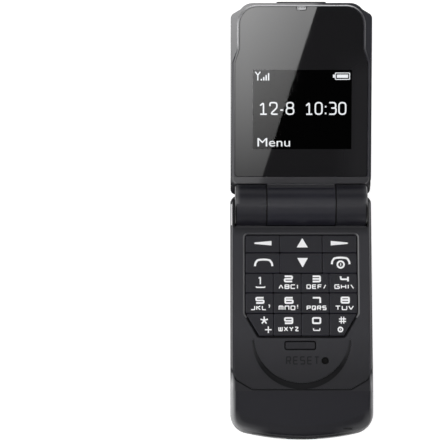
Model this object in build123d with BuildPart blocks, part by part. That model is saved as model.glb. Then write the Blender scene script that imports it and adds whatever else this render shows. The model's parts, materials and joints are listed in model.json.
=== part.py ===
from build123d import *
import os
from math import cos, radians, sin, tan

os.makedirs("parts", exist_ok=True)

# A folding phone that lies open on its back. All sizes are in millimetres, angles in degrees.
# +X is to the phone's right, +Y runs from the chin towards the lid, +Z is up.
# The origin is in the middle of the base half's back face.

# ---------------------------------------------------------------------------------------------
# Driving dimensions
# ---------------------------------------------------------------------------------------------

# General
cut_past = 1.0  # how far a cut runs past the face that it opens
slot_overlap = 0.2  # how far a slot reaches into the spaces that it joins
least_corner = 0.3
same_place = 0.01  # points nearer than this count as one

# Base half: its outside
base_width = 36.5
base_length = 62.6
keypad_height = 7.9  # flat front face above the back face
seam_height = 5.0  # joint line between rear case and front cover
case_wall = 1.2
plate_thickness = 1.2
chin_radius = 64.0  # curve of the chin end in plan
chin_corner = 5.0
shoulder_corner = 2.0
back_edge_radius = 1.6
front_edge_radius = 0.9
chin_length = 12.3  # the part of the front that slopes down to the chin end
chin_drop = 0.9
chin_bevel_reach = 6.0  # from the chin end to where its bevel would meet the flat front
chin_bevel_angle = 13.1
ear_width = 9.6
ear_reach = 4.0  # how far the ear stands out of the base's hinge end
ear_offset = -0.6
ear_straight = 1.3  # stretch of the ear with parallel sides
ear_taper = 1.1
ear_corner = 1.0

# Hinge
hinge_inset = 2.6  # hinge end of the base beyond the axis
hinge_height = 8.0
open_angle = 165.0
barrel_radius = 5.3
cheek_thickness = 1.2  # side of the base beyond each end of the barrel
end_cap_thickness = 0.5
end_cap_step = 0.2
end_cap_bevel = 0.25
end_cap_peg = 0.4
end_cap_peg_fit = 0.1
side_knuckle_length = 7.5
knuckle_gap = 0.35
barrel_clearance = 0.2
plate_gap = 0.15  # front plate to the barrel
knuckle_foot = 2.0  # the plate runs this far under the side knuckles
hinge_floor = 2.4  # rear case under the barrel
shaft_radius = 1.2
shaft_head_radius = 2.6
shaft_head_flats = 3.8
shaft_head_recess = 0.5
shaft_tip = 0.5  # shaft beyond the follower
shaft_edge = 0.2
hinge_housing_radius = 2.9
hinge_housing_wall = 0.5
chamber_wall = 1.05  # between the hinge's cartridge and the cable's chamber
hinge_housing_inset = 0.05
hinge_housing_room = 0.1
cam_thickness = 1.4
cam_lobe = 0.35
cam_lobe_width = 1.2
cam_notch_width = 1.4
cam_end_gap = 0.1
cam_follower_gap = 0.05
spring_wire = 0.45
spring_pitch = 0.93
spring_bore_gap = 0.15
spring_end_gap = 0.02
bush_bore = 1.7
journal_radius = 2.2
journal_length = 2.4
journal_end_gap = 0.2
bush_recess = 0.5
chamber_length = 3.5  # room for the flex cable's roll inside the middle knuckle
chamber_step = 1.2
running_fit = 0.06
seat_fit = 0.03
seam_fit = 0.05
cap_fit = 0.05

# Lid half, measured from the hinge axis along the lid and down from the axis to its outer face
lid_setback = 8.0  # chin end beyond the lid's free end
lid_side_step = 0.1
lid_inner_gap = 0.1  # inner face beyond the hinge axis
lid_depth = 5.4  # outer face from the hinge axis
lid_seam_depth = 2.2  # joint line between inner frame and outer cover
lid_seam_gap = 0.05
lid_slant_width = 5.3
lid_slant_length = 3.1
lid_corner = 1.6
frame_corner = 4.0  # round corners of the inner frame, over the lid's slants
frame_corner_inset = 1.75
lid_edge_radius = 1.4
lid_wall = 1.1
lid_floor = 1.0
lid_cavity_start = 7.0
lid_lip_start = 1.8  # outer cover over the side knuckles
tongue_length = 3.3
tongue_root = 2.0
knuckle_web = 1.5
knuckle_web_drop = 0.1
plateau_drop = 0.6  # shoulder of the inner frame below its raised middle
plateau_margin = 0.45
plateau_end_margin = 0.5
plateau_narrowing = 1.2
plateau_corner = 5.0
plateau_bevel = 0.3
waist_from_end = 11.7  # where the raised middle starts to widen, from the lid's free end
waist_length = 3.5

# Screen
lens_margin = 0.6
lens_thickness = 0.9
lens_recess = 0.05
lens_start = 7.35
lens_end_margin = 0.4
lens_edge = 0.12
lens_foot_corner = 0.8
display_side_margin = 2.1  # from the lens's side to the display's
display_foot_margin = 4.05
display_head_margin = 13.1
display_thickness = 1.4
display_side_offset = 0.3
display_fit = 0.15
display_corner = 0.3
adhesive_gap = 0.1

# Lid trim and details
trim_width = 1.8
trim_thickness = 0.55
trim_proud = 0.1
trim_half_span = 11.75
trim_start = 11.2
trim_end_margin = 8.8
trim_bend = 3.75
trim_bevel = 0.1
tab_width = 12.6
tab_length = 5.7
tab_proud = 0.3
tab_rib = 0.4
tab_rib_height = 0.1
tab_corner = 0.3
tab_lift = 0.3  # thumb tab above the lid's joint line
crescent_mark_depth = 0.25
crescent_mark_start = 3.7
crescent_mark_radius = 4.3
crescent_mark_inset = 2.85
crescent_mark_shift = 0.35
earpiece_width = 2.4
earpiece_height = 1.0
earpiece_corner = 0.4
earpiece_from_lens_end = 0.4
earpiece_mesh_fit = 0.05
earpiece_hole_radius = 0.12
earpiece_hole_step = 0.4
earpiece_hole_rows = (5, 2)
speaker_width = 12.0
speaker_length = 5.2
speaker_thickness = 1.7
speaker_corner = 1.0
speaker_edge = 0.3
speaker_wall_gap = 0.25
lid_board_thickness = 0.6
lid_board_lift = 0.5
lid_board_margin = 2.2
lid_board_corner = 0.6
lid_board_start_gap = 1.2
lid_board_end_gap = 1.0
lid_board_boss_gap = 0.2
board_pad_size = (3.0, 1.5)
board_pad_inset = 3.0
magnet_size = (4.0, 2.0, 1.2)
magnet_corner = 0.2
magnet_inset = 2.0
lid_screw_inset = 3.5
lid_screw_head_radius = 1.1
lid_screw_head = 0.5
lid_screw_radius = 0.5
lid_boss_radius = 1.5
lid_screw_start = 2.0  # lower pair, above the lens's lower edge
lid_screw_from_display = 3.7  # upper pair, beyond the display
lid_screw_sink = 0.05
lid_screw_end_gap = 0.2
screw_head_fit = 0.1
screw_cross = (1.5, 0.35)
screw_cross_depth = 0.3

# Keypad
keypad_margin = 3.9
keypad_from_axis = 7.8
keypad_from_chin = 13.8  # keypad's lower edge from the joint line of the chin
row_heights = (4.6, 5.3, 5.1, 5.3, 5.8)  # shares of the keypad's length, from the hinge down
navigation_width = 10.9
keypad_corner_cut = 3.45
keypad_corner = 0.8
key_gap = 0.2
key_corner = 0.3
key_edge = 0.12
key_recess = 0.1
key_thickness = 1.0
key_travel = 0.25
key_clearance = 0.15
plunger_radius = 1.1
opening_bevel = 0.45
mat_thickness = 0.3
mat_overhang = 0.4
mat_rim = 0.65
mat_gap = 0.05
dome_height = 0.25
dome_room = 0.8  # lowest row of keys beyond the width of a dome
dome_taper = 60
film_thickness = 0.1
film_fit = 0.1
plunger_gap = 0.02

# Features of the front plate
pad_width = 7.5
pad_height = 1.8
pad_from_keypad = 2.45
pad_side = -0.35
pad_depth = 0.7
pad_proud = 0.12
pad_fit = 0.32
pad_corner = 0.35
pad_edge = 0.15
reset_radius = 0.85
reset_clearance = 0.1
reset_from_keypad = 6.36
reset_side = 6.0
reset_recess = 0.15
reset_travel = 0.2
reset_flange = 0.14
reset_flange_rim = 0.45
reset_flange_gap = 0.04
reset_edge = 0.1
switch_size = 3.4
switch_corner = 0.3
switch_button_radius = 1.1
scoop_radius = 12.7
scoop_width = 1.65
scoop_end_width = 0.5
scoop_depth = 0.5
scoop_from_groove = 0.1
groove_width = 0.35
groove_depth = 0.3
groove_flat_half = 12.6
groove_knee = (1.3, 2.6)  # from the side, and up from the chin's seam
groove_rise = 7.5
groove_past_side = 0.5
groove_bend = 1.5
mic_slot_width = 2.3
mic_slot_height = 0.5
mic_slot_depth = 0.9
mic_from_side = 6.6
mic_from_end = 2.5

# Inside the base
cover_thickness = 0.8
cover_gap = 0.1
cover_travel = 4.0
cover_from_plate = 1.65  # battery cover's edge short of the front plate's hinge end
tongue_width = 7.0
tongue_reach = 1.8
tongue_thickness = 0.6
rail_thickness = 0.8
rail_height = 0.8
rail_length = 24.0
sound_slot_from_side = 8.25
sound_slot_start = 3.6  # from the bay
sound_slot_step = 1.4
sound_slot_count = 3
sound_slot_size = (5.0, 0.6)
grip_count = 4
grip_start = 3.0
grip_step = 1.3
grip_length = 12.0
grip_taper = 1.6
grip_width = 0.6
grip_depth = 0.25
bay_margin = 3.1
bay_from_plate = 13.05
bay_from_chin = 12.1
bay_corner = 0.5
battery_fit = 0.15
battery_gap = 0.1
battery_headroom = 0.05
battery_corner = 0.4
deck_thickness = 0.5
deck_drop = 0.1
board_thickness = 0.7
board_fit = 0.3
board_gap = 0.1
board_headroom = 0.15
pocket_margin = 4.2
pocket_floor = 1.1
end_wall = 0.85
partition = 1.0
base_screw_inset = 2.35
base_screw_radius = 0.7
base_screw_head_radius = 1.2
base_screw_head = 0.8
base_screw_from_hinge = 1.8
base_screw_from_bay = 2.8
base_screw_sink = 0.15
base_screw_end_gap = 0.25
base_head_gap = 0.05
screw_hole_roof = 0.2
boss_radius = 1.1
boss_overlap = 0.1
shield_mat_gap = 0.4
shield_side_gap = 1.0
shield_switch_gap = 1.0
shield_seam_gap = 0.6
shield_corner = 0.5
shield_headroom = 0.1
shield_edge = 0.2
contact_width = 8.0
contact_from_side = 3.0  # contacts from the battery's right side
contact_count = 3
contact_fit = 0.1
contact_set_back = 0.15
contact_seat = 0.05
contact_blade = (1.0, 0.5, 1.2)
contact_blade_lift = 0.6
sim_size = (12.3, 8.8, 0.67)
sim_holder_thickness = 0.5
sim_side = -6.6
sim_room = 0.4
sim_partition_gap = 0.2
sim_lift = 0.25
sim_corner_cut = 1.65
sim_corner = 1.0
sim_fit = 0.02
holder_fit = 0.1
holder_lip = 0.25
holder_lip_inset = 1.0
holder_corner = 0.3
card_roof = 1.1
antenna_seat = 0.05
antenna_thickness = 1.4
antenna_side_gap = 0.4
antenna_wall_gap = 0.6
antenna_hinge_gap = 2.6
antenna_corner = 0.5
antenna_slot_width = 1.0
antenna_slot_count = 3
antenna_track = 1.3  # metal left at the closed end of a slot
motor_radius = 3.6
motor_height = 2.4
motor_fit = 0.3
motor_edge = 0.3
motor_cap_inset = 1.4
motor_cap_height = 0.15
loudspeaker_length = 6.6
loudspeaker_height = 2.0
loudspeaker_corner = 1.2
loudspeaker_edge = 0.3
loudspeaker_wall_gap = 0.4
loudspeaker_side_gap = 0.2
loudspeaker_port_gap = 1.3
loudspeaker_magnet_radius = 2.2
loudspeaker_magnet_height = 0.5
microphone_radius = 1.8
microphone_height = 1.3
microphone_edge = 0.2
microphone_inset = 2.2
usb_width = 7.5
usb_height = 2.5
usb_depth = 4.9
usb_shell = 0.3
usb_recess = 0.3
usb_fit = 0.1
usb_proud = 0.1  # shell above the circuit board that it is sunk in
usb_corner = 0.6
usb_inner_corner = 0.35
usb_back_wall = 0.5
usb_tongue_inset = 1.2
usb_tongue_thickness = 0.6
usb_tongue_lift = 0.2
usb_tongue_recess = 0.8
flex_width = 4.6
flex_thickness = 0.2
flex_from_cap = 4.1  # middle of the cable from the barrel's end cap
flex_roll_radius = 1.5
flex_roll_start = 0.2
flex_slot_fit = 0.3
flex_drop = 0.6
flex_rise_offset = 1.0
flex_rise_end = 1.0
flex_bend_room = 0.7
flex_side_room = 0.4
flex_bush_fit = 0.2
flex_bush_room = 0.4
flex_plug_length = 2.2
flex_plug_gap = 3.4
flex_plug_drop = 0.1
lid_flex_width = 2.6
lid_flex_inset = 0.3
lid_flex_drop = 0.2
lid_flex_side_fit = 0.2
lid_flex_start = -0.6
lid_flex_plug_length = 2.4
lid_flex_plug_start = 2.0

# ---------------------------------------------------------------------------------------------
# Worked-out values
# ---------------------------------------------------------------------------------------------

half_width = base_width / 2
chin_end = -base_length / 2
hinge_end = base_length / 2
hinge_y = hinge_end - hinge_inset
chin_seam = chin_end + chin_length
barrel_half = half_width - cheek_thickness
side_knuckle_end = barrel_half - end_cap_thickness
side_knuckle_start = side_knuckle_end - side_knuckle_length
knuckle_half = side_knuckle_start - knuckle_gap
knuckle_length = 2 * knuckle_half
chamber_right = knuckle_half - journal_length
chamber_left = chamber_right - chamber_length
mic_side = half_width - mic_from_side
clear_radius = barrel_radius + barrel_clearance
plate_end = hinge_y - barrel_radius - plate_gap
cavity_end = plate_end - end_wall
cover_end = plate_end - cover_from_plate
bay_top = plate_end - bay_from_plate
bay_bottom = chin_end + bay_from_chin

lid_reach = base_length - hinge_inset - lid_setback
lid_half = half_width - lid_side_step
plateau_end = lid_reach - plateau_end_margin
lens_end = plateau_end - lens_end_margin
plateau_half = lid_half - plateau_margin
lens_half = plateau_half - lens_margin
waist_end = lid_reach - waist_from_end
waist_start = waist_end - waist_length
display_width = 2 * (lens_half - display_side_margin)
display_start = lens_start + display_foot_margin
display_end = lens_end - display_head_margin

keypad_half = half_width - keypad_margin
keypad_top = hinge_y - keypad_from_axis
keypad_bottom = chin_seam + keypad_from_chin
row_scale = (keypad_top - keypad_bottom) / sum(row_heights)
dome_radius = (min(row_heights) * row_scale - dome_room) / 2
key_top = keypad_height - key_recess
key_bottom = key_top - key_thickness
plate_bottom = keypad_height - plate_thickness

board_chin_edge = chin_end + usb_recess + usb_depth + board_gap
cover_top = cover_thickness + cover_gap
deck_top = seam_height - deck_drop
deck_bottom = deck_top - deck_thickness
board_top = deck_top + board_thickness
dome_top = board_top + film_thickness + dome_height
mat_top = key_bottom - key_travel - mat_gap
plunger_bottom = dome_top + key_travel + plunger_gap
battery_half = half_width - bay_margin - battery_fit
pocket_half = half_width - pocket_margin
floor_top = cover_top + pocket_floor
screw_x = half_width - base_screw_inset
screw_rows = (cavity_end - base_screw_from_hinge, bay_bottom - base_screw_from_bay)
screw_places = [(x, y) for x in (-screw_x, screw_x) for y in screw_rows]
lid_tilt = radians(180.0 - open_angle)

lid_plane = Plane(
    origin=(0, hinge_y, hinge_height),
    x_dir=(1, 0, 0),
    z_dir=(0, -sin(lid_tilt), cos(lid_tilt)),
)
lid_up = Axis(lid_plane.origin, lid_plane.z_dir)


def level(height):
    """Horizontal plane of the base half at a height above the back face."""
    return Plane.XY.offset(height)


def lid_level(depth):
    """Plane of the lid, parallel to the screen, at a depth below the hinge axis."""
    return lid_plane.offset(-depth)


def hinge_plane(x):
    """Plane across the hinge axis at x, with +Y to its right and +Z up."""
    return Plane(origin=(x, hinge_y, hinge_height), x_dir=(0, 1, 0), z_dir=(1, 0, 0))


def lid_side_plane(x):
    """Plane across the hinge axis at x, turned with the lid: its right is along the lid."""
    return Plane(origin=(x, hinge_y, hinge_height), x_dir=lid_plane.y_dir, z_dir=(1, 0, 0))


# ---------------------------------------------------------------------------------------------
# Outlines
# ---------------------------------------------------------------------------------------------


def base_plan(inset=0.0):
    """Plan outline of the base half, pulled in by inset all round."""
    with BuildSketch() as plan:
        Rectangle(base_width - 2 * inset, base_length - 2 * inset)
        with Locations((0, chin_end + chin_radius)):
            Circle(chin_radius - inset, mode=Mode.INTERSECT)
        fillet(plan.vertices().group_by(Axis.Y)[0], chin_corner - inset)
        fillet(plan.vertices().group_by(Axis.Y)[-1], max(shoulder_corner - inset, least_corner))
    return plan.sketch


def block_plan(left, right, bottom, top, corner=0.0):
    """Rectangle between two sides, a bottom and a top, with rounded corners if asked."""
    with BuildSketch() as plan:
        with Locations(((left + right) / 2, (bottom + top) / 2)):
            Rectangle(right - left, top - bottom)
        if corner > 0:
            fillet(plan.vertices(), corner)
    return plan.sketch


def keypad_plan(grow=0.0, corner=0.0):
    """Outline of the keypad, with its two cut corners, grown by grow all round."""
    side = keypad_half + grow
    top = keypad_top + grow
    bottom = keypad_bottom - grow
    cut_start = keypad_bottom + row_heights[-1] * row_scale
    with BuildSketch() as plan:
        with BuildLine():
            Polyline(
                (-side, top),
                (side, top),
                (side, cut_start),
                (side - keypad_corner_cut, bottom),
                (keypad_corner_cut - side, bottom),
                (-side, cut_start),
                close=True,
            )
        make_face()
        if corner > 0:
            fillet(plan.vertices(), corner)
    return plan.sketch


def lid_plan(start, inset=0.0):
    """Outline of the lid from a distance along it to its free end, pulled in by inset."""
    side = lid_half - inset
    end = lid_reach - inset
    slant = lid_slant_width - inset / 2
    with BuildSketch() as plan:
        with BuildLine():
            Polyline(
                (-side, start),
                (side, start),
                (side, end - lid_slant_length),
                (side - slant, end),
                (slant - side, end),
                (-side, end - lid_slant_length),
                close=True,
            )
        make_face()
        fillet(plan.vertices(), max(lid_corner - inset, least_corner))
    return plan.sketch


def screen_plan(side, start, end, top_corner, foot_corner):
    """Outline with a narrow top and a wide foot, as the lens and its raised surround have."""
    narrow = side - plateau_narrowing
    with BuildSketch() as plan:
        with BuildLine():
            Polyline(
                (-side, start),
                (side, start),
                (side, waist_start),
                (narrow, waist_end),
                (narrow, end),
                (-narrow, end),
                (-narrow, waist_end),
                (-side, waist_start),
                close=True,
            )
        make_face()
        rows = plan.vertices().group_by(Axis.Y)
        fillet(rows[0], foot_corner)
        rows = plan.vertices().group_by(Axis.Y)
        fillet(rows[-1], top_corner)
    return plan.sketch


def lens_plan(grow=0.0):
    """Outline of the screen lens, grown by grow all round."""
    side = lens_half + grow
    end = lens_end + grow
    corner = plateau_corner - lens_end_margin
    return screen_plan(side, lens_start - grow, end, corner, lens_foot_corner)


def trim_plan(width):
    """U-shaped band of a width, with round ends, that lies along the trim's middle line."""
    end = lid_reach - trim_end_margin
    with BuildSketch() as plan:
        with BuildLine() as path:
            FilletPolyline(
                (-trim_half_span, trim_start),
                (-trim_half_span, end),
                (trim_half_span, end),
                (trim_half_span, trim_start),
                radius=trim_bend,
            )
        trace(path.edges(), width)
        with Locations((-trim_half_span, trim_start), (trim_half_span, trim_start)):
            Circle(width / 2)
    return plan.sketch


def scoop_plan():
    """Crescent below the keypad, widest in the middle and narrow at its upright ends."""
    outer_centre = chin_seam + scoop_radius + scoop_from_groove
    with BuildSketch() as plan:
        with Locations((0, outer_centre)):
            Circle(scoop_radius)
        with Locations((0, outer_centre + scoop_width - scoop_end_width)):
            Circle(scoop_radius - scoop_end_width, mode=Mode.SUBTRACT)
        add(block_plan(-half_width, half_width, chin_seam, outer_centre), mode=Mode.INTERSECT)
    return plan.sketch


def shaft_head_plan(grow=0.0):
    """Round shaft head with two flats, grown by grow all round."""
    with BuildSketch() as plan:
        Circle(shaft_head_radius + grow)
        width = 2 * (shaft_head_radius + cut_past)
        Rectangle(width, shaft_head_flats + 2 * grow, mode=Mode.INTERSECT)
    return plan.sketch


# ---------------------------------------------------------------------------------------------
# Base half: cases
# ---------------------------------------------------------------------------------------------

flex_side = side_knuckle_end - flex_from_cap
flex_left = flex_side - flex_width / 2
flex_right = flex_side + flex_width / 2
flex_height = deck_top - flex_drop
flex_rise_y = hinge_y - flex_rise_offset
slot_low = flex_height - flex_slot_fit
slot_high = flex_height + flex_thickness + flex_slot_fit
sim_left = sim_side - sim_size[0] / 2 - sim_room
sim_right = sim_side + sim_size[0] / 2 + sim_room
sim_bottom = bay_top + partition + sim_partition_gap
sim_top = sim_bottom + sim_size[1] + sim_room
contact_right = battery_half - contact_from_side
contact_left = contact_right - contact_width
usb_half = usb_width / 2
usb_low = board_top + usb_proud - usb_height
usb_high = usb_low + usb_height
sound_slots = [
    (sound_slot_from_side - half_width, bay_bottom - sound_slot_start - sound_slot_step * number)
    for number in range(sound_slot_count)
]
shoulder_height = cover_top + base_screw_sink + base_screw_head + base_head_gap

with BuildPart() as rear_case:
    with BuildSketch(level(0)):
        add(base_plan())
    extrude(amount=seam_height)
    fillet(rear_case.faces().sort_by(Axis.Z)[0].edges(), back_edge_radius)
    # Ear behind the hinge barrel
    with BuildSketch(level(0)) as ear:
        with BuildLine():
            Polyline(
                (ear_offset - ear_width / 2, hinge_end - case_wall),
                (ear_offset + ear_width / 2, hinge_end - case_wall),
                (ear_offset + ear_width / 2, hinge_end + ear_straight),
                (ear_offset + ear_width / 2 - ear_taper, hinge_end + ear_reach),
                (ear_offset - ear_width / 2 + ear_taper, hinge_end + ear_reach),
                (ear_offset - ear_width / 2, hinge_end + ear_straight),
                close=True,
            )
        make_face()
        fillet(ear.vertices().group_by(Axis.Y)[-1], ear_corner)
    extrude(amount=hinge_floor)
    # Room for the barrel and the lid's knuckle
    with BuildSketch(level(hinge_floor)):
        add(block_plan(-barrel_half, barrel_half, plate_end, hinge_end + cut_past))
    extrude(amount=seam_height, mode=Mode.SUBTRACT)
    # Space of the battery cover
    with BuildSketch(level(0)):
        add(block_plan(-half_width, half_width, chin_end - cut_past, cover_end + cover_gap))
    extrude(amount=cover_top, mode=Mode.SUBTRACT)
    # Pockets for the cover's tongues, and grooves for its rails
    with BuildSketch(level(cover_top - cover_gap - tongue_thickness - cover_gap)):
        with Locations((-half_width / 2, cover_end), (half_width / 2, cover_end)):
            Rectangle(tongue_width + 2 * cover_gap, 2 * (tongue_reach + cover_gap))
    extrude(amount=tongue_thickness + 2 * cover_gap, mode=Mode.SUBTRACT)
    rail_x = half_width - bay_margin / 2
    with BuildSketch(level(cover_top)):
        with Locations((-rail_x, -cover_travel / 2), (rail_x, -cover_travel / 2)):
            Rectangle(rail_thickness + 2 * cover_gap, rail_length + cover_travel + 2 * cover_gap)
    extrude(amount=rail_height + cover_gap, mode=Mode.SUBTRACT)
    # Battery bay from below, under a thin deck
    with BuildSketch(level(0)):
        bay_side = half_width - bay_margin
        add(block_plan(-bay_side, bay_side, bay_bottom, bay_top, bay_corner))
    extrude(amount=deck_bottom, mode=Mode.SUBTRACT)
    # Pocket for the chin's parts, from above
    with BuildSketch(level(floor_top)):
        add(base_plan(case_wall))
        add(
            block_plan(-pocket_half, pocket_half, chin_end, bay_bottom - partition),
            mode=Mode.INTERSECT,
        )
    extrude(amount=seam_height, mode=Mode.SUBTRACT)
    # Pockets towards the hinge, from above: the left one over the card holder
    with BuildSketch(level(floor_top + card_roof)):
        add(block_plan(-pocket_half, 0.0, sim_bottom, cavity_end))
    extrude(amount=seam_height, mode=Mode.SUBTRACT)
    with BuildSketch(level(floor_top)):
        add(block_plan(partition, flex_right + flex_side_room, sim_bottom, cavity_end))
    extrude(amount=seam_height, mode=Mode.SUBTRACT)
    # Lowered deck, on which the circuit board lies
    with BuildSketch(level(deck_top)):
        add(base_plan(case_wall))
        add(
            block_plan(-half_width, half_width, chin_end, cavity_end),
            mode=Mode.INTERSECT,
        )
    extrude(amount=seam_height, mode=Mode.SUBTRACT)
    # Card holder's recess, from below
    with BuildSketch(level(0)):
        add(block_plan(sim_left, sim_right, sim_bottom, sim_top))
    extrude(amount=cover_top + sim_size[2] + sim_holder_thickness + sim_room, mode=Mode.SUBTRACT)
    # Slot for the battery contacts
    with BuildSketch(level(floor_top)):
        add(
            block_plan(
                contact_left, contact_right, bay_top - slot_overlap, sim_bottom + slot_overlap
            )
        )
    extrude(amount=seam_height, mode=Mode.SUBTRACT)
    # Way out for the flex cable
    with BuildSketch(level(slot_low)):
        add(
            block_plan(
                flex_left - flex_slot_fit,
                flex_right + flex_slot_fit,
                cavity_end - slot_overlap,
                plate_end + slot_overlap,
            )
        )
    extrude(amount=slot_high - slot_low, mode=Mode.SUBTRACT)
    # Charging port
    with BuildSketch(level(usb_low - usb_fit)):
        side = usb_half + usb_fit
        add(block_plan(-side, side, chin_end - cut_past, chin_end + usb_recess + usb_depth))
    extrude(amount=seam_height, mode=Mode.SUBTRACT)
    # Sound slots of the loudspeaker
    with BuildSketch(level(0)):
        with Locations(*sound_slots):
            SlotOverall(*sound_slot_size)
    extrude(amount=seam_height, mode=Mode.SUBTRACT)
    # Screw holes with sunk heads
    with BuildSketch(level(0)):
        with Locations(*screw_places):
            Circle(base_screw_radius + seat_fit)
    extrude(amount=2 * seam_height, mode=Mode.SUBTRACT)
    with BuildSketch(level(0)):
        with Locations(*screw_places):
            Circle(base_screw_head_radius + screw_head_fit)
    extrude(amount=shoulder_height, mode=Mode.SUBTRACT)
rear_case.part.label = "rear_case"
export_step(rear_case.part, "parts/rear_case.step")

with BuildPart() as base_front_cover:
    with BuildSketch(level(seam_height)):
        add(base_plan())
    extrude(amount=keypad_height - seam_height)
    # Chin that slopes down to its end
    with BuildSketch(Plane.YZ) as chin_wedge:
        with BuildLine():
            Polyline(
                (chin_seam, keypad_height),
                (
                    chin_end - cut_past,
                    keypad_height - chin_drop * (chin_length + cut_past) / chin_length,
                ),
                (chin_end - cut_past, keypad_height + cut_past),
                (chin_seam, keypad_height + cut_past),
                close=True,
            )
        make_face()
    extrude(amount=base_width, both=True, mode=Mode.SUBTRACT)
    # Bevel of the chin end, which follows its curve
    with BuildSketch(Plane.YZ) as chin_bevel:
        bevel_end = chin_bevel_reach + cut_past
        with BuildLine():
            Polyline(
                (chin_end + chin_bevel_reach, keypad_height),
                (
                    chin_end - cut_past,
                    keypad_height - bevel_end * tan(radians(chin_bevel_angle)),
                ),
                (chin_end - cut_past, keypad_height + cut_past),
                (chin_end + chin_bevel_reach, keypad_height + cut_past),
                close=True,
            )
        make_face()
    revolve(axis=Axis((0, chin_end + chin_radius, 0), (0, 0, 1)), mode=Mode.SUBTRACT)
    top_faces = [
        face for face in base_front_cover.faces() if face.normal_at().Z > same_place
    ]
    rim = [
        edge
        for face in top_faces
        for edge in face.edges()
        if sum(edge in other.edges() for other in top_faces) == 1
    ]
    fillet(rim, front_edge_radius)
    # Room for the barrel
    with BuildSketch(level(seam_height - cut_past)):
        add(block_plan(-barrel_half, barrel_half, plate_end, hinge_end + cut_past))
    extrude(amount=keypad_height, mode=Mode.SUBTRACT)
    # Inside of the cover: low under the chin, higher under the keypad
    with BuildSketch(level(seam_height - cut_past)):
        add(base_plan(case_wall))
        add(block_plan(-half_width, half_width, chin_end, cavity_end), mode=Mode.INTERSECT)
    extrude(amount=cut_past + board_top + board_headroom - seam_height, mode=Mode.SUBTRACT)
    with BuildSketch(level(seam_height - cut_past)):
        add(base_plan(case_wall))
        add(block_plan(-half_width, half_width, chin_seam, cavity_end), mode=Mode.INTERSECT)
    extrude(amount=cut_past + plate_bottom - seam_height, mode=Mode.SUBTRACT)
    # Side knuckles, with a foot that joins them to the plate
    for side in (-1, 1):
        start = side_knuckle_start if side > 0 else -side_knuckle_end
        with BuildSketch(hinge_plane(start)):
            Circle(barrel_radius)
        extrude(amount=side_knuckle_length)
        with BuildSketch(level(seam_height)):
            foot_end = hinge_y - barrel_radius + knuckle_foot
            add(block_plan(start, start + side_knuckle_length, cavity_end, foot_end))
        extrude(amount=keypad_height - seam_height)
    # Left knuckle holds the shaft's flats, the right one the bush
    with BuildSketch(hinge_plane(-side_knuckle_end)):
        add(shaft_head_plan(seat_fit))
    extrude(amount=side_knuckle_end, mode=Mode.SUBTRACT)
    with BuildSketch(hinge_plane(0)):
        Circle(shaft_head_radius + seat_fit)
    extrude(amount=side_knuckle_end, mode=Mode.SUBTRACT)
    # Way of the flex cable into the right knuckle
    with BuildSketch(level(slot_low)):
        rise_end = flex_rise_y + flex_thickness + flex_slot_fit
        add(
            block_plan(
                flex_left - flex_slot_fit,
                flex_right + flex_slot_fit,
                plate_end - slot_overlap,
                rise_end,
            )
        )
    extrude(amount=slot_high - slot_low, mode=Mode.SUBTRACT)
    with BuildSketch(level(slot_low)):
        add(
            block_plan(
                flex_left - flex_slot_fit,
                flex_right + flex_slot_fit,
                flex_rise_y - flex_bend_room,
                rise_end,
            )
        )
    extrude(amount=hinge_height - slot_low, mode=Mode.SUBTRACT)
    # Keypad opening with a bevelled edge
    with BuildSketch(level(plate_bottom - cut_past)):
        add(keypad_plan(key_clearance, keypad_corner))
    extrude(amount=plate_thickness + 2 * cut_past, mode=Mode.SUBTRACT)
    opening_rim = base_front_cover.faces().filter_by(Axis.Z).filter_by(
        lambda face: abs(face.center().Z - keypad_height) < same_place
    ).sort_by(SortBy.AREA)[-1].inner_wires()[0].edges()
    chamfer(opening_rim, opening_bevel)
    # Recess of the stop pad, and the reset hole
    with BuildSketch(level(keypad_height - pad_depth)):
        with Locations((pad_side, keypad_bottom - pad_from_keypad)):
            RectangleRounded(
                pad_width + 2 * pad_fit, pad_height + 2 * pad_fit, pad_corner + pad_fit
            )
    extrude(amount=pad_depth + cut_past, mode=Mode.SUBTRACT)
    with Locations((reset_side, keypad_bottom - reset_from_keypad, plate_bottom)):
        Cylinder(reset_radius + reset_clearance, 3 * plate_thickness, mode=Mode.SUBTRACT)
    # Crescent scoop below the keypad
    with BuildSketch(level(keypad_height - scoop_depth)):
        add(scoop_plan())
    extrude(amount=scoop_depth + cut_past, mode=Mode.SUBTRACT)
    # Groove between plate and chin, which runs up into both sides
    with BuildSketch(level(keypad_height - groove_depth)):
        with BuildLine() as groove:
            FilletPolyline(
                (-half_width - groove_past_side, chin_seam + groove_rise),
                (groove_knee[0] - half_width, chin_seam + groove_knee[1]),
                (-groove_flat_half, chin_seam),
                (groove_flat_half, chin_seam),
                (half_width - groove_knee[0], chin_seam + groove_knee[1]),
                (half_width + groove_past_side, chin_seam + groove_rise),
                radius=groove_bend,
            )
        trace(groove.edges(), groove_width)
    extrude(amount=groove_depth + cut_past, mode=Mode.SUBTRACT)
    # Line between plate and side knuckles
    with BuildSketch(level(keypad_height - groove_depth)):
        with Locations((0, plate_end)):
            Rectangle(2 * barrel_half, groove_width)
    extrude(amount=groove_depth + slot_overlap, mode=Mode.SUBTRACT)
    # Microphone slot
    with BuildSketch(level(keypad_height - chin_drop - mic_slot_depth)):
        with Locations((mic_side, chin_end + mic_from_end)):
            SlotOverall(mic_slot_width, mic_slot_height)
    extrude(amount=mic_slot_depth + chin_drop + cut_past, mode=Mode.SUBTRACT)
    # Charging port
    with BuildSketch(level(seam_height - cut_past)):
        side = usb_half + usb_fit
        add(block_plan(-side, side, chin_end - cut_past, chin_end + usb_recess + usb_depth))
    extrude(amount=cut_past + usb_high + usb_fit - seam_height, mode=Mode.SUBTRACT)
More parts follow.
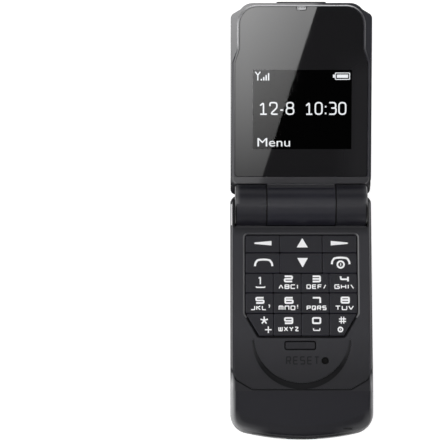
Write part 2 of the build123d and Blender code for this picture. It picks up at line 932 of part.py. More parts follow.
    # Screw bosses
    with BuildSketch(level(seam_height)):
        with Locations(*screw_places):
            Circle(boss_radius)
    extrude(amount=plate_bottom - seam_height + boss_overlap)
    with BuildSketch(level(seam_height)):
        with Locations(*screw_places):
            Circle(base_screw_radius + seat_fit)
    extrude(amount=plate_bottom - seam_height - screw_hole_roof, mode=Mode.SUBTRACT)
base_front_cover.part.label = "base_front_cover"
export_step(base_front_cover.part, "parts/base_front_cover.step")

with BuildPart() as battery_cover:
    with BuildSketch(level(0)):
        add(base_plan())
    extrude(amount=seam_height)
    fillet(battery_cover.faces().sort_by(Axis.Z)[0].edges(), back_edge_radius)
    with BuildSketch(level(cover_thickness)):
        Rectangle(2 * base_width, 2 * base_length)
    extrude(amount=seam_height, mode=Mode.SUBTRACT)
    with BuildSketch(level(0)):
        add(block_plan(-base_width, base_width, cover_end, base_length))
    extrude(amount=seam_height, mode=Mode.SUBTRACT)
    # Tongues that reach under the rear case, and rails that run in its grooves
    with BuildSketch(level(cover_thickness - tongue_thickness)):
        with Locations((-half_width / 2, cover_end), (half_width / 2, cover_end)):
            Rectangle(tongue_width, 2 * tongue_reach)
    extrude(amount=tongue_thickness)
    with BuildSketch(level(cover_thickness)):
        with Locations((-rail_x, 0), (rail_x, 0)):
            Rectangle(rail_thickness, rail_length)
    extrude(amount=rail_height)
    # Sound slots, and grip grooves for the thumb
    with BuildSketch(level(0)):
        with Locations(*sound_slots):
            SlotOverall(*sound_slot_size)
    extrude(amount=seam_height, mode=Mode.SUBTRACT)
    with BuildSketch(level(0)):
        for number in range(grip_count):
            with Locations((0, cover_end - grip_start - grip_step * number)):
                SlotOverall(grip_length - grip_taper * number, grip_width)
    extrude(amount=grip_depth, mode=Mode.SUBTRACT)
battery_cover.part.label = "battery_cover"
export_step(battery_cover.part, "parts/battery_cover.step")

# ---------------------------------------------------------------------------------------------
# Base half: keypad
# ---------------------------------------------------------------------------------------------

key_rows = (
    ("key_left", "key_up", "key_right"),
    ("key_call", "key_down", "key_end"),
    ("key_1", "key_2", "key_3", "key_4"),
    ("key_5", "key_6", "key_7", "key_8"),
    ("key_star", "key_9", "key_0", "key_hash"),
)


def row_edges(count):
    """Sides of the keys in a row: a wide middle key of three, or equal keys."""
    if count == 3:
        return (-keypad_half, -navigation_width / 2, navigation_width / 2, keypad_half)
    step = 2 * keypad_half / count
    return tuple(-keypad_half + number * step for number in range(count + 1))


def key_plan(left, right, bottom, top):
    """Outline of one key in its cell of the keypad."""
    inset = key_gap / 2
    with BuildSketch() as plan:
        add(block_plan(left + inset, right - inset, bottom + inset, top - inset))
        add(keypad_plan(-inset), mode=Mode.INTERSECT)
        fillet(plan.vertices(), key_corner)
    return plan.sketch


key_plans = {}
row_top = keypad_top
for names, height in zip(key_rows, row_heights):
    row_bottom = row_top - height * row_scale
    edges = row_edges(len(names))
    for name, left, right in zip(names, edges[:-1], edges[1:]):
        key_plans[name] = key_plan(left, right, row_bottom, row_top)
    row_top = row_bottom
key_centres = {name: plan.faces()[0].center(CenterOf.MASS) for name, plan in key_plans.items()}

for name, plan in key_plans.items():
    with BuildPart() as key:
        with BuildSketch(level(key_bottom)):
            add(plan)
        extrude(amount=key_thickness)
        fillet(key.faces().sort_by(Axis.Z)[-1].edges(), key_edge)
        with BuildSketch(level(plunger_bottom)):
            with Locations(key_centres[name]):
                Circle(plunger_radius)
        extrude(amount=key_bottom - plunger_bottom)
    key.part.label = name
    export_step(key.part, f"parts/{name}.step")

with BuildPart() as keypad_mat:
    with BuildSketch(level(mat_top - mat_thickness)):
        add(keypad_plan(mat_overhang))
        with Locations(*key_centres.values()):
            Circle(plunger_radius + key_clearance, mode=Mode.SUBTRACT)
    extrude(amount=mat_thickness)
    with BuildSketch(level(board_top)):
        add(keypad_plan(mat_overhang))
        add(keypad_plan(mat_overhang - mat_rim), mode=Mode.SUBTRACT)
    extrude(amount=mat_top - mat_thickness - board_top)
keypad_mat.part.label = "keypad_mat"
export_step(keypad_mat.part, "parts/keypad_mat.step")

with BuildPart() as key_domes:
    with BuildSketch(level(board_top)):
        add(keypad_plan(mat_overhang - mat_rim - film_fit))
    extrude(amount=film_thickness)
    with BuildSketch(level(board_top + film_thickness)):
        with Locations(*key_centres.values()):
            Circle(dome_radius)
    extrude(amount=dome_height, taper=dome_taper)
key_domes.part.label = "key_domes"
export_step(key_domes.part, "parts/key_domes.step")

# ---------------------------------------------------------------------------------------------
# Base half: small pieces of the front
# ---------------------------------------------------------------------------------------------

reset_y = keypad_bottom - reset_from_keypad
reset_top = keypad_height - reset_recess
flange_top = plate_bottom - reset_flange_gap
switch_top = flange_top - reset_flange - reset_travel - plunger_gap

with BuildPart() as lid_stop_pad:
    with BuildSketch(level(keypad_height - pad_depth)):
        with Locations((pad_side, keypad_bottom - pad_from_keypad)):
            RectangleRounded(pad_width, pad_height, pad_corner)
    extrude(amount=pad_depth + pad_proud)
    fillet(lid_stop_pad.faces().sort_by(Axis.Z)[-1].edges(), pad_edge)
lid_stop_pad.part.label = "lid_stop_pad"
export_step(lid_stop_pad.part, "parts/lid_stop_pad.step")

with BuildPart() as reset_plunger:
    with BuildSketch(level(flange_top - reset_flange)):
        with Locations((reset_side, reset_y)):
            Circle(reset_radius + reset_flange_rim)
    extrude(amount=reset_flange)
    with BuildSketch(level(flange_top)):
        with Locations((reset_side, reset_y)):
            Circle(reset_radius)
    extrude(amount=reset_top - flange_top)
    fillet(reset_plunger.faces().sort_by(Axis.Z)[-1].edges(), reset_edge)
reset_plunger.part.label = "reset_plunger"
export_step(reset_plunger.part, "parts/reset_plunger.step")

with BuildPart() as reset_switch:
    with BuildSketch(level(board_top)):
        with Locations((reset_side, reset_y)):
            RectangleRounded(switch_size, switch_size, switch_corner)
    extrude(amount=(switch_top - board_top) / 2)
    with BuildSketch(level((switch_top + board_top) / 2)):
        with Locations((reset_side, reset_y)):
            Circle(switch_button_radius)
    extrude(amount=(switch_top - board_top) / 2)
reset_switch.part.label = "reset_switch"
export_step(reset_switch.part, "parts/reset_switch.step")

# ---------------------------------------------------------------------------------------------
# Base half: inside
# ---------------------------------------------------------------------------------------------

with BuildPart() as main_circuit_board:
    with BuildSketch(level(deck_top)):
        add(base_plan(case_wall + board_fit))
        add(
            block_plan(-half_width, half_width, board_chin_edge, cavity_end - board_fit),
            mode=Mode.INTERSECT,
        )
        with Locations(*screw_places):
            Circle(boss_radius + board_fit, mode=Mode.SUBTRACT)
    extrude(amount=board_thickness)
main_circuit_board.part.label = "main_circuit_board"
export_step(main_circuit_board.part, "parts/main_circuit_board.step")

shield_top_edge = keypad_bottom - mat_overhang - shield_mat_gap
switch_room = switch_size / 2 + shield_switch_gap
shield_half = pocket_half - shield_side_gap
shield_spans = (
    (-shield_half, reset_side - switch_room),
    (reset_side + switch_room, shield_half),
)
with BuildPart() as rf_shields:
    with BuildSketch(level(board_top)):
        for left, right in shield_spans:
            add(block_plan(left, right, chin_seam + shield_seam_gap, shield_top_edge, shield_corner))
    extrude(amount=plate_bottom - board_top - shield_headroom)
    fillet(rf_shields.faces().filter_by(Axis.Z).group_by(Axis.Z)[-1].edges(), shield_edge)
rf_shields.part.label = "rf_shields"
export_step(rf_shields.part, "parts/rf_shields.step")

with BuildPart() as battery:
    with BuildSketch(level(cover_top + battery_gap)):
        add(
            block_plan(
                -battery_half,
                battery_half,
                bay_bottom + battery_fit,
                bay_top - battery_fit,
                battery_corner,
            )
        )
    extrude(amount=deck_bottom - cover_top - battery_gap - battery_headroom)
    fillet(battery.edges().filter_by(Axis.Y), battery_corner)
battery.part.label = "battery"
export_step(battery.part, "parts/battery.step")

contact_step = (contact_right - contact_left) / contact_count
contact_start = bay_top + contact_set_back
contact_blades = [
    (contact_left + contact_step * (number + 0.5), contact_start)
    for number in range(contact_count)
]
with BuildPart() as battery_contacts:
    with BuildSketch(level(floor_top + contact_seat)):
        add(
            block_plan(
                contact_left + contact_fit,
                contact_right - contact_fit,
                contact_start,
                bay_top + partition,
            )
        )
    extrude(amount=deck_top - floor_top - contact_seat)
    with BuildSketch(level(floor_top + contact_blade_lift)):
        with Locations(*contact_blades):
            Rectangle(contact_blade[0], contact_blade[1])
    extrude(amount=contact_blade[2])
battery_contacts.part.label = "battery_contacts"
export_step(battery_contacts.part, "parts/battery_contacts.step")

with BuildPart() as sim_card:
    with BuildSketch(level(cover_top + sim_lift)) as card:
        with Locations((sim_side, (sim_bottom + sim_top) / 2)):
            Rectangle(sim_size[0], sim_size[1])
        chamfer(card.vertices().group_by(Axis.Y)[-1].sort_by(Axis.X)[-1], sim_corner_cut)
        fillet(card.vertices().group_by(Axis.Y)[0], sim_corner)
    extrude(amount=sim_size[2])
sim_card.part.label = "sim_card"
export_step(sim_card.part, "parts/sim_card.step")

sim_holder_bottom = cover_top + sim_lift + sim_size[2] + sim_fit
holder_left = sim_left + holder_fit
holder_right = sim_right - holder_fit
holder_bottom = sim_bottom + holder_fit
holder_top = sim_top - holder_fit
lip_bottom = sim_bottom + holder_lip_inset
lip_top = sim_top - holder_lip_inset
with BuildPart() as sim_holder:
    with BuildSketch(level(sim_holder_bottom)):
        add(block_plan(holder_left, holder_right, holder_bottom, holder_top, holder_corner))
    extrude(amount=sim_holder_thickness)
    with BuildSketch(level(cover_top + holder_fit)):
        add(block_plan(holder_left, holder_left + holder_lip, lip_bottom, lip_top))
        add(block_plan(holder_right - holder_lip, holder_right, lip_bottom, lip_top))
    extrude(amount=sim_holder_bottom - cover_top - holder_fit)
sim_holder.part.label = "sim_holder"
export_step(sim_holder.part, "parts/sim_holder.step")

antenna_left = antenna_side_gap - pocket_half
antenna_right = -antenna_wall_gap
antenna_bottom = sim_bottom + antenna_wall_gap
antenna_top = cavity_end - antenna_hinge_gap
antenna_slot_step = (antenna_right - antenna_left) / (antenna_slot_count + 1)
antenna_slot_length = antenna_top - antenna_bottom - antenna_track + cut_past
# The slots open in turn at the lower and the upper edge, which leaves one winding track
antenna_slot_middles = (
    antenna_bottom - cut_past + antenna_slot_length / 2,
    antenna_top + cut_past - antenna_slot_length / 2,
)
with BuildPart() as antenna:
    with BuildSketch(level(floor_top + card_roof + antenna_seat)):
        add(
            block_plan(
                antenna_left, antenna_right, antenna_bottom, antenna_top, antenna_corner
            )
        )
        for number in range(antenna_slot_count):
            slot_x = antenna_left + antenna_slot_step * (number + 1)
            with Locations((slot_x, antenna_slot_middles[number % 2])):
                Rectangle(antenna_slot_width, antenna_slot_length, mode=Mode.SUBTRACT)
    extrude(amount=antenna_thickness)
antenna.part.label = "antenna"
export_step(antenna.part, "parts/antenna.step")

motor_room = motor_radius + motor_fit
motor_place = (partition + motor_room, sim_bottom + motor_room)
with BuildPart() as vibration_motor:
    with BuildSketch(level(floor_top)):
        with Locations(motor_place):
            Circle(motor_radius)
    extrude(amount=motor_height)
    fillet(vibration_motor.faces().sort_by(Axis.Z)[-1].edges(), motor_edge)
    with BuildSketch(level(floor_top + motor_height)):
        with Locations(motor_place):
            Circle(motor_radius - motor_cap_inset)
    extrude(amount=motor_cap_height)
vibration_motor.part.label = "vibration_motor"
export_step(vibration_motor.part, "parts/vibration_motor.step")

loudspeaker_left = loudspeaker_side_gap - pocket_half
loudspeaker_right = -usb_half - loudspeaker_port_gap
loudspeaker_top = bay_bottom - partition - loudspeaker_wall_gap
loudspeaker_bottom = loudspeaker_top - loudspeaker_length
loudspeaker_middle = (
    (loudspeaker_left + loudspeaker_right) / 2,
    (loudspeaker_bottom + loudspeaker_top) / 2,
)
with BuildPart() as loudspeaker:
    with BuildSketch(level(floor_top)):
        add(
            block_plan(
                loudspeaker_left,
                loudspeaker_right,
                loudspeaker_bottom,
                loudspeaker_top,
                loudspeaker_corner,
            )
        )
    extrude(amount=loudspeaker_height)
    fillet(loudspeaker.faces().sort_by(Axis.Z)[-1].edges(), loudspeaker_edge)
    with BuildSketch(level(floor_top + loudspeaker_height)):
        with Locations(loudspeaker_middle):
            Circle(loudspeaker_magnet_radius)
    extrude(amount=loudspeaker_magnet_height)
loudspeaker.part.label = "loudspeaker"
export_step(loudspeaker.part, "parts/loudspeaker.step")

with BuildPart() as microphone:
    with BuildSketch(level(deck_top - microphone_height)):
        with Locations((mic_side, board_chin_edge + microphone_inset)):
            Circle(microphone_radius)
    extrude(amount=microphone_height)
    chamfer(microphone.faces().sort_by(Axis.Z)[0].edges(), microphone_edge)
microphone.part.label = "microphone"
export_step(microphone.part, "parts/microphone.step")

usb_back = chin_end + usb_recess + usb_depth
usb_middle = (usb_low + usb_high) / 2
with BuildPart() as usb_port:
    with BuildSketch(Plane.XZ.offset(-usb_back)):
        with Locations((0, usb_middle)):
            RectangleRounded(usb_width, usb_height, usb_corner)
    extrude(amount=usb_depth)
    with BuildSketch(Plane.XZ.offset(usb_back_wall - usb_back)):
        with Locations((0, usb_middle)):
            RectangleRounded(
                usb_width - 2 * usb_shell, usb_height - 2 * usb_shell, usb_inner_corner
            )
    extrude(amount=usb_depth, mode=Mode.SUBTRACT)
    with BuildSketch(Plane.XZ.offset(-usb_back)):
        with Locations((0, usb_middle + usb_tongue_lift)):
            Rectangle(usb_width - 2 * usb_tongue_inset, usb_tongue_thickness)
    extrude(amount=usb_depth - usb_tongue_recess)
usb_port.part.label = "usb_port"
export_step(usb_port.part, "parts/usb_port.step")

flex_start = cavity_end - flex_plug_gap - flex_plug_length
flex_plug_height = flex_height - flex_plug_drop
with BuildPart() as flex_cable_base:
    # Strip from the connector under the board to the middle of the right knuckle
    with BuildSketch(level(flex_height)):
        add(block_plan(flex_left, flex_right, flex_start, flex_rise_y + flex_thickness))
    extrude(amount=flex_thickness)
    with BuildSketch(level(flex_plug_height)):
        add(block_plan(flex_left, flex_right, flex_start, flex_start + flex_plug_length))
    extrude(amount=deck_top - flex_plug_height)
    with BuildSketch(level(flex_height)):
        add(block_plan(flex_left, flex_right, flex_rise_y, flex_rise_y + flex_thickness))
    extrude(amount=hinge_height - flex_rise_end - flex_height)
    # Rolled stretch inside the barrel, on the hinge axis
    with BuildSketch(hinge_plane(chamber_left + flex_roll_start)):
        Circle(flex_roll_radius)
        Circle(flex_roll_radius - flex_thickness, mode=Mode.SUBTRACT)
    extrude(amount=flex_right - chamber_left - flex_roll_start)
flex_cable_base.part.label = "flex_cable_base"
export_step(flex_cable_base.part, "parts/flex_cable_base.step")

with BuildPart() as base_screws:
    head_base = cover_top + base_screw_sink
    with BuildSketch(level(head_base)):
        with Locations(*screw_places):
            Circle(base_screw_head_radius)
    extrude(amount=base_screw_head)
    with BuildSketch(level(head_base)):
        with Locations(*screw_places):
            Circle(base_screw_radius)
    extrude(amount=plate_bottom - screw_hole_roof - base_screw_end_gap - head_base)
    with BuildSketch(level(head_base)):
        with Locations(*screw_places):
            Rectangle(*screw_cross)
            Rectangle(*reversed(screw_cross))
    extrude(amount=screw_cross_depth, mode=Mode.SUBTRACT)
base_screws.part.label = "base_screws"
export_step(base_screws.part, "parts/base_screws.step")

# ---------------------------------------------------------------------------------------------
# Hinge
# ---------------------------------------------------------------------------------------------

housing_left = hinge_housing_inset - knuckle_half
housing_right = chamber_left - chamber_wall
hinge_housing_length = housing_right - housing_left
housing_bore = hinge_housing_radius - hinge_housing_wall
cam_left = housing_left + hinge_housing_wall + cam_end_gap
cam_right = cam_left + cam_thickness
follower_left = cam_right + cam_lobe + cam_follower_gap
follower_right = follower_left + cam_thickness

with BuildPart() as hinge_shaft:
    with BuildSketch(hinge_plane(shaft_head_recess - side_knuckle_end)):
        add(shaft_head_plan())
    extrude(amount=side_knuckle_length - shaft_head_recess)
    with BuildSketch(hinge_plane(-side_knuckle_start)):
        Circle(shaft_radius)
    extrude(amount=follower_right + shaft_tip + side_knuckle_start)
    chamfer(hinge_shaft.faces().sort_by(Axis.X)[-1].edges(), shaft_edge)
hinge_shaft.part.label = "hinge_shaft"
export_step(hinge_shaft.part, "parts/hinge_shaft.step")

with BuildPart() as hinge_housing:
    with BuildSketch(hinge_plane(housing_left)):
        Circle(hinge_housing_radius)
    extrude(amount=hinge_housing_length)
    with BuildSketch(hinge_plane(housing_left + hinge_housing_wall)):
        Circle(housing_bore)
    extrude(amount=hinge_housing_length - 2 * hinge_housing_wall, mode=Mode.SUBTRACT)
    with BuildSketch(hinge_plane(housing_left)):
        Circle(shaft_radius + running_fit)
    extrude(amount=hinge_housing_wall, mode=Mode.SUBTRACT)
hinge_housing.part.label = "hinge_housing"
export_step(hinge_housing.part, "parts/hinge_housing.step")

with BuildPart() as hinge_cam:
    with BuildSketch(hinge_plane(cam_left)):
        Circle(housing_bore - running_fit)
    extrude(amount=cam_thickness)
    with BuildSketch(hinge_plane(cam_right)):
        Circle(housing_bore - running_fit)
        Rectangle(2 * housing_bore, cam_lobe_width, mode=Mode.INTERSECT)
    extrude(amount=cam_lobe)
    with BuildSketch(hinge_plane(cam_left)):
        Circle(shaft_radius + seat_fit)
    extrude(amount=cam_thickness + cam_lobe, mode=Mode.SUBTRACT)
hinge_cam.part.label = "hinge_cam"
export_step(hinge_cam.part, "parts/hinge_cam.step")

with BuildPart() as cam_follower:
    with BuildSketch(hinge_plane(follower_left)):
        Circle(housing_bore - seat_fit)
    extrude(amount=cam_thickness)
    with BuildSketch(lid_side_plane(follower_left)):
        Rectangle(2 * housing_bore, cam_notch_width)
    extrude(amount=cam_lobe, mode=Mode.SUBTRACT)
    with BuildSketch(hinge_plane(follower_left)):
        Circle(shaft_radius + running_fit)
    extrude(amount=cam_thickness, mode=Mode.SUBTRACT)
cam_follower.part.label = "cam_follower"
export_step(cam_follower.part, "parts/cam_follower.step")

spring_left = follower_right + spring_wire / 2 + spring_end_gap
spring_right = housing_right - hinge_housing_wall - spring_wire / 2 - spring_end_gap
spring_length = spring_right - spring_left
spring_turns = round(spring_length / spring_pitch)
with BuildPart() as hinge_spring:
    with BuildLine():
        coil = Helix(
            pitch=spring_length / spring_turns,
            height=spring_length,
            radius=housing_bore - spring_wire / 2 - spring_bore_gap,
            center=(spring_left, hinge_y, hinge_height),
            direction=(1, 0, 0),
        )
    with BuildSketch(Plane(origin=coil @ 0, z_dir=coil % 0)):
        Circle(spring_wire / 2)
    sweep(path=coil, is_frenet=True)
hinge_spring.part.label = "hinge_spring"
export_step(hinge_spring.part, "parts/hinge_spring.step")

with BuildPart() as hinge_bush:
    with BuildSketch(hinge_plane(side_knuckle_start)):
        Circle(shaft_head_radius)
    extrude(amount=side_knuckle_length - bush_recess)
    with BuildSketch(hinge_plane(chamber_right + journal_end_gap)):
        Circle(journal_radius)
    extrude(amount=side_knuckle_start - chamber_right - journal_end_gap)
    with BuildSketch(hinge_plane(chamber_right)):
        Circle(bush_bore)
    extrude(amount=side_knuckle_end, mode=Mode.SUBTRACT)
    # Way of the flex cable into the bore
    with BuildSketch(level(hinge_height - shaft_head_radius - cut_past)):
        add(
            block_plan(
                flex_left - flex_bush_fit,
                flex_right + flex_bush_fit,
                flex_rise_y - flex_bush_room,
                flex_rise_y + flex_thickness + flex_slot_fit,
            )
        )
    extrude(amount=shaft_head_radius + cut_past, mode=Mode.SUBTRACT)
hinge_bush.part.label = "hinge_bush"
export_step(hinge_bush.part, "parts/hinge_bush.step")

with BuildPart() as hinge_end_caps:
    with BuildSketch(hinge_plane(side_knuckle_end)):
        Circle(barrel_radius - end_cap_step)
    extrude(amount=end_cap_thickness - cap_fit)
    chamfer(hinge_end_caps.faces().sort_by(Axis.X)[-1].edges(), end_cap_bevel)
    with BuildSketch(hinge_plane(side_knuckle_end - end_cap_peg)):
        Circle(shaft_head_flats / 2 - end_cap_peg_fit)
    extrude(amount=end_cap_peg)
    mirror(about=Plane.YZ)
hinge_end_caps.part.label = "hinge_end_caps"
export_step(hinge_end_caps.part, "parts/hinge_end_caps.step")

# ---------------------------------------------------------------------------------------------
# Lid half
# ---------------------------------------------------------------------------------------------

frame_start = barrel_radius + seam_fit
frame_top = lid_inner_gap
lens_top = lid_inner_gap + lens_recess
lens_bottom = lens_top + lens_thickness
panel_top = lens_bottom + adhesive_gap
panel_bottom = panel_top + display_thickness
cover_seam = lid_seam_depth + lid_seam_gap
inner_floor = lid_depth - lid_floor
board_bottom = inner_floor - lid_board_lift
panel_span = (
    display_side_offset - display_width / 2,
    display_side_offset + display_width / 2,
    display_start,
    display_end,
)
speaker_end = lid_reach - lid_wall - speaker_wall_gap
speaker_start = speaker_end - speaker_length
earpiece_place = (0, lens_end - earpiece_from_lens_end)
lid_screw_places = [
    (x, y)
    for x in (lid_screw_inset - lens_half, lens_half - lid_screw_inset)
    for y in (lens_start + lid_screw_start, display_end + lid_screw_from_display)
]
strip_left = chamber_left + lid_flex_inset
strip_right = strip_left + lid_flex_width
strip_top = panel_bottom + lid_flex_drop
strip_slot = strip_top + flex_thickness + flex_slot_fit
strip_end = lid_cavity_start + lid_flex_plug_start + lid_flex_plug_length
cutter_depth = lid_seam_depth + seam_fit

with BuildPart() as lid_inner_frame:
    # Plate with a lower shoulder round a raised middle
    with BuildSketch(lid_level(lid_seam_depth)):
        add(lid_plan(frame_start))
        side = lid_half - frame_corner_inset
        add(block_plan(-side, side, lid_reach - 3 * frame_corner, lid_reach, frame_corner))
    extrude(amount=lid_seam_depth - frame_top - plateau_drop)
    with BuildSketch(lid_level(frame_top + plateau_drop)):
        add(screen_plan(plateau_half, frame_start, plateau_end, plateau_corner, lid_corner))
    extrude(amount=plateau_drop)
    chamfer(lid_inner_frame.faces().sort_by(lid_up)[-1].edges(), plateau_bevel)
    # Room for the side knuckles
    for start in (-half_width, side_knuckle_start - knuckle_gap / 2):
        with BuildSketch(hinge_plane(start)):
            Circle(clear_radius)
        length = half_width - side_knuckle_start + knuckle_gap / 2
        extrude(amount=length, mode=Mode.SUBTRACT)
    # Middle knuckle, its web to the plate, and the tongue on its outer side
    with BuildSketch(hinge_plane(-knuckle_half)):
        Circle(barrel_radius)
    extrude(amount=knuckle_length)
    with BuildSketch(lid_level(lid_seam_depth)):
        web_start = barrel_radius - knuckle_web
        add(block_plan(-knuckle_half, knuckle_half, web_start, frame_start + knuckle_web))
    extrude(amount=lid_seam_depth - frame_top - knuckle_web_drop)
    with BuildSketch(lid_level(barrel_radius)):
        add(block_plan(-knuckle_half, knuckle_half, 0, tongue_length))
    extrude(amount=tongue_root)
    # Bores of the knuckle
    with BuildSketch(hinge_plane(-knuckle_half)):
        Circle(hinge_housing_radius + seat_fit)
    extrude(amount=housing_right + knuckle_half + hinge_housing_room, mode=Mode.SUBTRACT)
    with BuildSketch(hinge_plane(chamber_left)):
        Circle(journal_radius + chamber_step)
    extrude(amount=chamber_right - chamber_left, mode=Mode.SUBTRACT)
    with BuildSketch(hinge_plane(chamber_left)):
        Circle(journal_radius + running_fit)
    extrude(amount=knuckle_length, mode=Mode.SUBTRACT)
    # Way of the lid's flex cable out of the knuckle
    with BuildSketch(lid_level(strip_slot)):
        left = strip_left - lid_flex_side_fit
        right = strip_right + lid_flex_side_fit
        add(block_plan(left, right, 0, barrel_radius + slot_overlap))
    extrude(amount=flex_thickness + 2 * flex_slot_fit, mode=Mode.SUBTRACT)
    # Seat of the lens, and the window for the display
    with BuildSketch(lid_level(lens_bottom)):
        add(lens_plan(seat_fit))
    extrude(amount=lens_thickness + cut_past, mode=Mode.SUBTRACT)
    with BuildSketch(lid_level(cutter_depth)):
        left, right, bottom, top = panel_span
        add(
            block_plan(
                left - display_fit,
                right + display_fit,
                bottom - display_fit,
                top + display_fit,
                display_corner + display_fit,
            )
        )
    extrude(amount=lid_seam_depth, mode=Mode.SUBTRACT)
    # Earpiece slot
    with BuildSketch(lid_level(cutter_depth)):
        with Locations(earpiece_place):
            RectangleRounded(earpiece_width, earpiece_height, earpiece_corner)
    extrude(amount=lid_seam_depth + cut_past, mode=Mode.SUBTRACT)
    # Screw holes with sunk heads, under the lens
    with BuildSketch(lid_level(lens_bottom + lid_screw_head + 2 * lid_screw_sink)):
        with Locations(*lid_screw_places):
            Circle(lid_screw_head_radius + screw_head_fit)
    extrude(amount=lid_screw_head + 3 * lid_screw_sink, mode=Mode.SUBTRACT)
    with BuildSketch(lid_level(cutter_depth)):
        with Locations(*lid_screw_places):
            Circle(lid_screw_radius + seat_fit)
    extrude(amount=lid_seam_depth, mode=Mode.SUBTRACT)
lid_inner_frame.part.label = "lid_inner_frame"
export_step(lid_inner_frame.part, "parts/lid_inner_frame.step")

with BuildPart() as lid_outer_cover:
    with BuildSketch(lid_level(lid_depth)):
        add(lid_plan(lid_lip_start))
    extrude(amount=lid_depth - cover_seam)
    fillet(lid_outer_cover.faces().sort_by(lid_up)[0].edges(), lid_edge_radius)
    # Thumb tab between two ribs
    with BuildSketch(lid_level(lid_depth)):
        tab_start = lid_reach - tab_length
        tab_end = lid_reach + tab_proud
        add(block_plan(-tab_width / 2, tab_width / 2, tab_start, tab_end, tab_corner))
    extrude(amount=lid_depth - cover_seam - tab_lift)
    with BuildSketch(lid_level(lid_depth + tab_rib_height)):
        for side in (-1, 1):
            with Locations((side * (tab_width + tab_rib) / 2, lid_reach - tab_length / 2)):
                Rectangle(tab_rib, tab_length)
    extrude(amount=lid_floor)
    # Inside of the cover
    with BuildSketch(lid_level(inner_floor)):
        add(lid_plan(lid_cavity_start, lid_wall))
    extrude(amount=lid_depth, mode=Mode.SUBTRACT)
    # Bosses of the screws, which also carry the circuit board
    with BuildSketch(lid_level(inner_floor)):
        with Locations(*lid_screw_places):
            Circle(lid_boss_radius)
    extrude(amount=inner_floor - cover_seam)
    with BuildSketch(lid_level(inner_floor)):
        pad_x = lid_half - lid_board_margin - board_pad_inset
        pad_y = (display_start + display_end) / 2
        with Locations((-pad_x, pad_y), (pad_x, pad_y)):
            Rectangle(*board_pad_size)
    extrude(amount=lid_board_lift)
    # Room for the barrel, the tongue and the lid's flex cable
    with BuildSketch(hinge_plane(-half_width)):
        Circle(clear_radius)
    extrude(amount=base_width, mode=Mode.SUBTRACT)
    with BuildSketch(lid_level(lid_depth + cut_past)):
        side = knuckle_half + seam_fit
        add(block_plan(-side, side, 0, tongue_length + seam_fit))
    extrude(amount=lid_depth + cut_past, mode=Mode.SUBTRACT)
    with BuildSketch(lid_level(strip_slot)):
        left = strip_left - lid_flex_side_fit
        right = strip_right + lid_flex_side_fit
        add(block_plan(left, right, 0, lid_cavity_start + slot_overlap))
    extrude(amount=lid_depth, mode=Mode.SUBTRACT)
    # Holes of the screws
    with BuildSketch(lid_level(inner_floor)):
        with Locations(*lid_screw_places):
            Circle(lid_screw_radius + seat_fit)
    extrude(amount=inner_floor, mode=Mode.SUBTRACT)
    # Groove of the trim, and the two crescent marks beside the hinge
    with BuildSketch(lid_level(lid_depth + cut_past)):
        add(trim_plan(trim_width + 2 * seat_fit))
    extrude(amount=trim_thickness - trim_proud + cut_past, mode=Mode.SUBTRACT)
    with BuildSketch(lid_level(lid_depth + cut_past)):
        mark_x = trim_half_span - crescent_mark_inset
        mark_y = crescent_mark_start + crescent_mark_radius
        with Locations((-mark_x, mark_y), (mark_x, mark_y)):
            Circle(crescent_mark_radius)
        inner_x = mark_x - crescent_mark_shift
        inner_y = mark_y + crescent_mark_shift
        with Locations((-inner_x, inner_y), (inner_x, inner_y)):
            Circle(crescent_mark_radius, mode=Mode.SUBTRACT)
    extrude(amount=crescent_mark_depth + cut_past, mode=Mode.SUBTRACT)
lid_outer_cover.part.label = "lid_outer_cover"
export_step(lid_outer_cover.part, "parts/lid_outer_cover.step")

with BuildPart() as lid_silver_trim:
    with BuildSketch(lid_level(lid_depth + trim_proud)):
        add(trim_plan(trim_width))
    extrude(amount=trim_thickness)
    chamfer(lid_silver_trim.faces().sort_by(lid_up)[0].edges(), trim_bevel)
lid_silver_trim.part.label = "lid_silver_trim"
export_step(lid_silver_trim.part, "parts/lid_silver_trim.step")

with BuildPart() as screen_lens:
    with BuildSketch(lid_level(lens_bottom)):
        add(lens_plan())
        with Locations(earpiece_place):
            RectangleRounded(
                earpiece_width, earpiece_height, earpiece_corner, mode=Mode.SUBTRACT
            )
    extrude(amount=lens_thickness)
    chamfer(screen_lens.faces().sort_by(lid_up)[-1].outer_wire().edges(), lens_edge)
screen_lens.part.label = "screen_lens"
export_step(screen_lens.part, "parts/screen_lens.step")

with BuildPart() as display_panel:
    with BuildSketch(lid_level(panel_bottom)):
        add(block_plan(*panel_span, display_corner))
    extrude(amount=display_thickness)
display_panel.part.label = "display_panel"
export_step(display_panel.part, "parts/display_panel.step")

with BuildPart() as earpiece_mesh:
    with BuildSketch(lid_level(lens_bottom)):
        with Locations(earpiece_place):
            RectangleRounded(
                earpiece_width - 2 * earpiece_mesh_fit,
                earpiece_height - 2 * earpiece_mesh_fit,
                earpiece_corner - earpiece_mesh_fit,
            )
        with Locations(earpiece_place):
            with GridLocations(earpiece_hole_step, earpiece_hole_step, *earpiece_hole_rows):
                Circle(earpiece_hole_radius, mode=Mode.SUBTRACT)
    extrude(amount=lens_thickness / 2)
earpiece_mesh.part.label = "earpiece_mesh"
export_step(earpiece_mesh.part, "parts/earpiece_mesh.step")

with BuildPart() as earpiece_speaker:
    with BuildSketch(lid_level(lid_seam_depth + speaker_thickness)):
        side = speaker_width / 2
        add(block_plan(-side, side, speaker_start, speaker_end, speaker_corner))
    extrude(amount=speaker_thickness)
    fillet(earpiece_speaker.faces().sort_by(lid_up)[0].edges(), speaker_edge)
earpiece_speaker.part.label = "earpiece_speaker"
export_step(earpiece_speaker.part, "parts/earpiece_speaker.step")

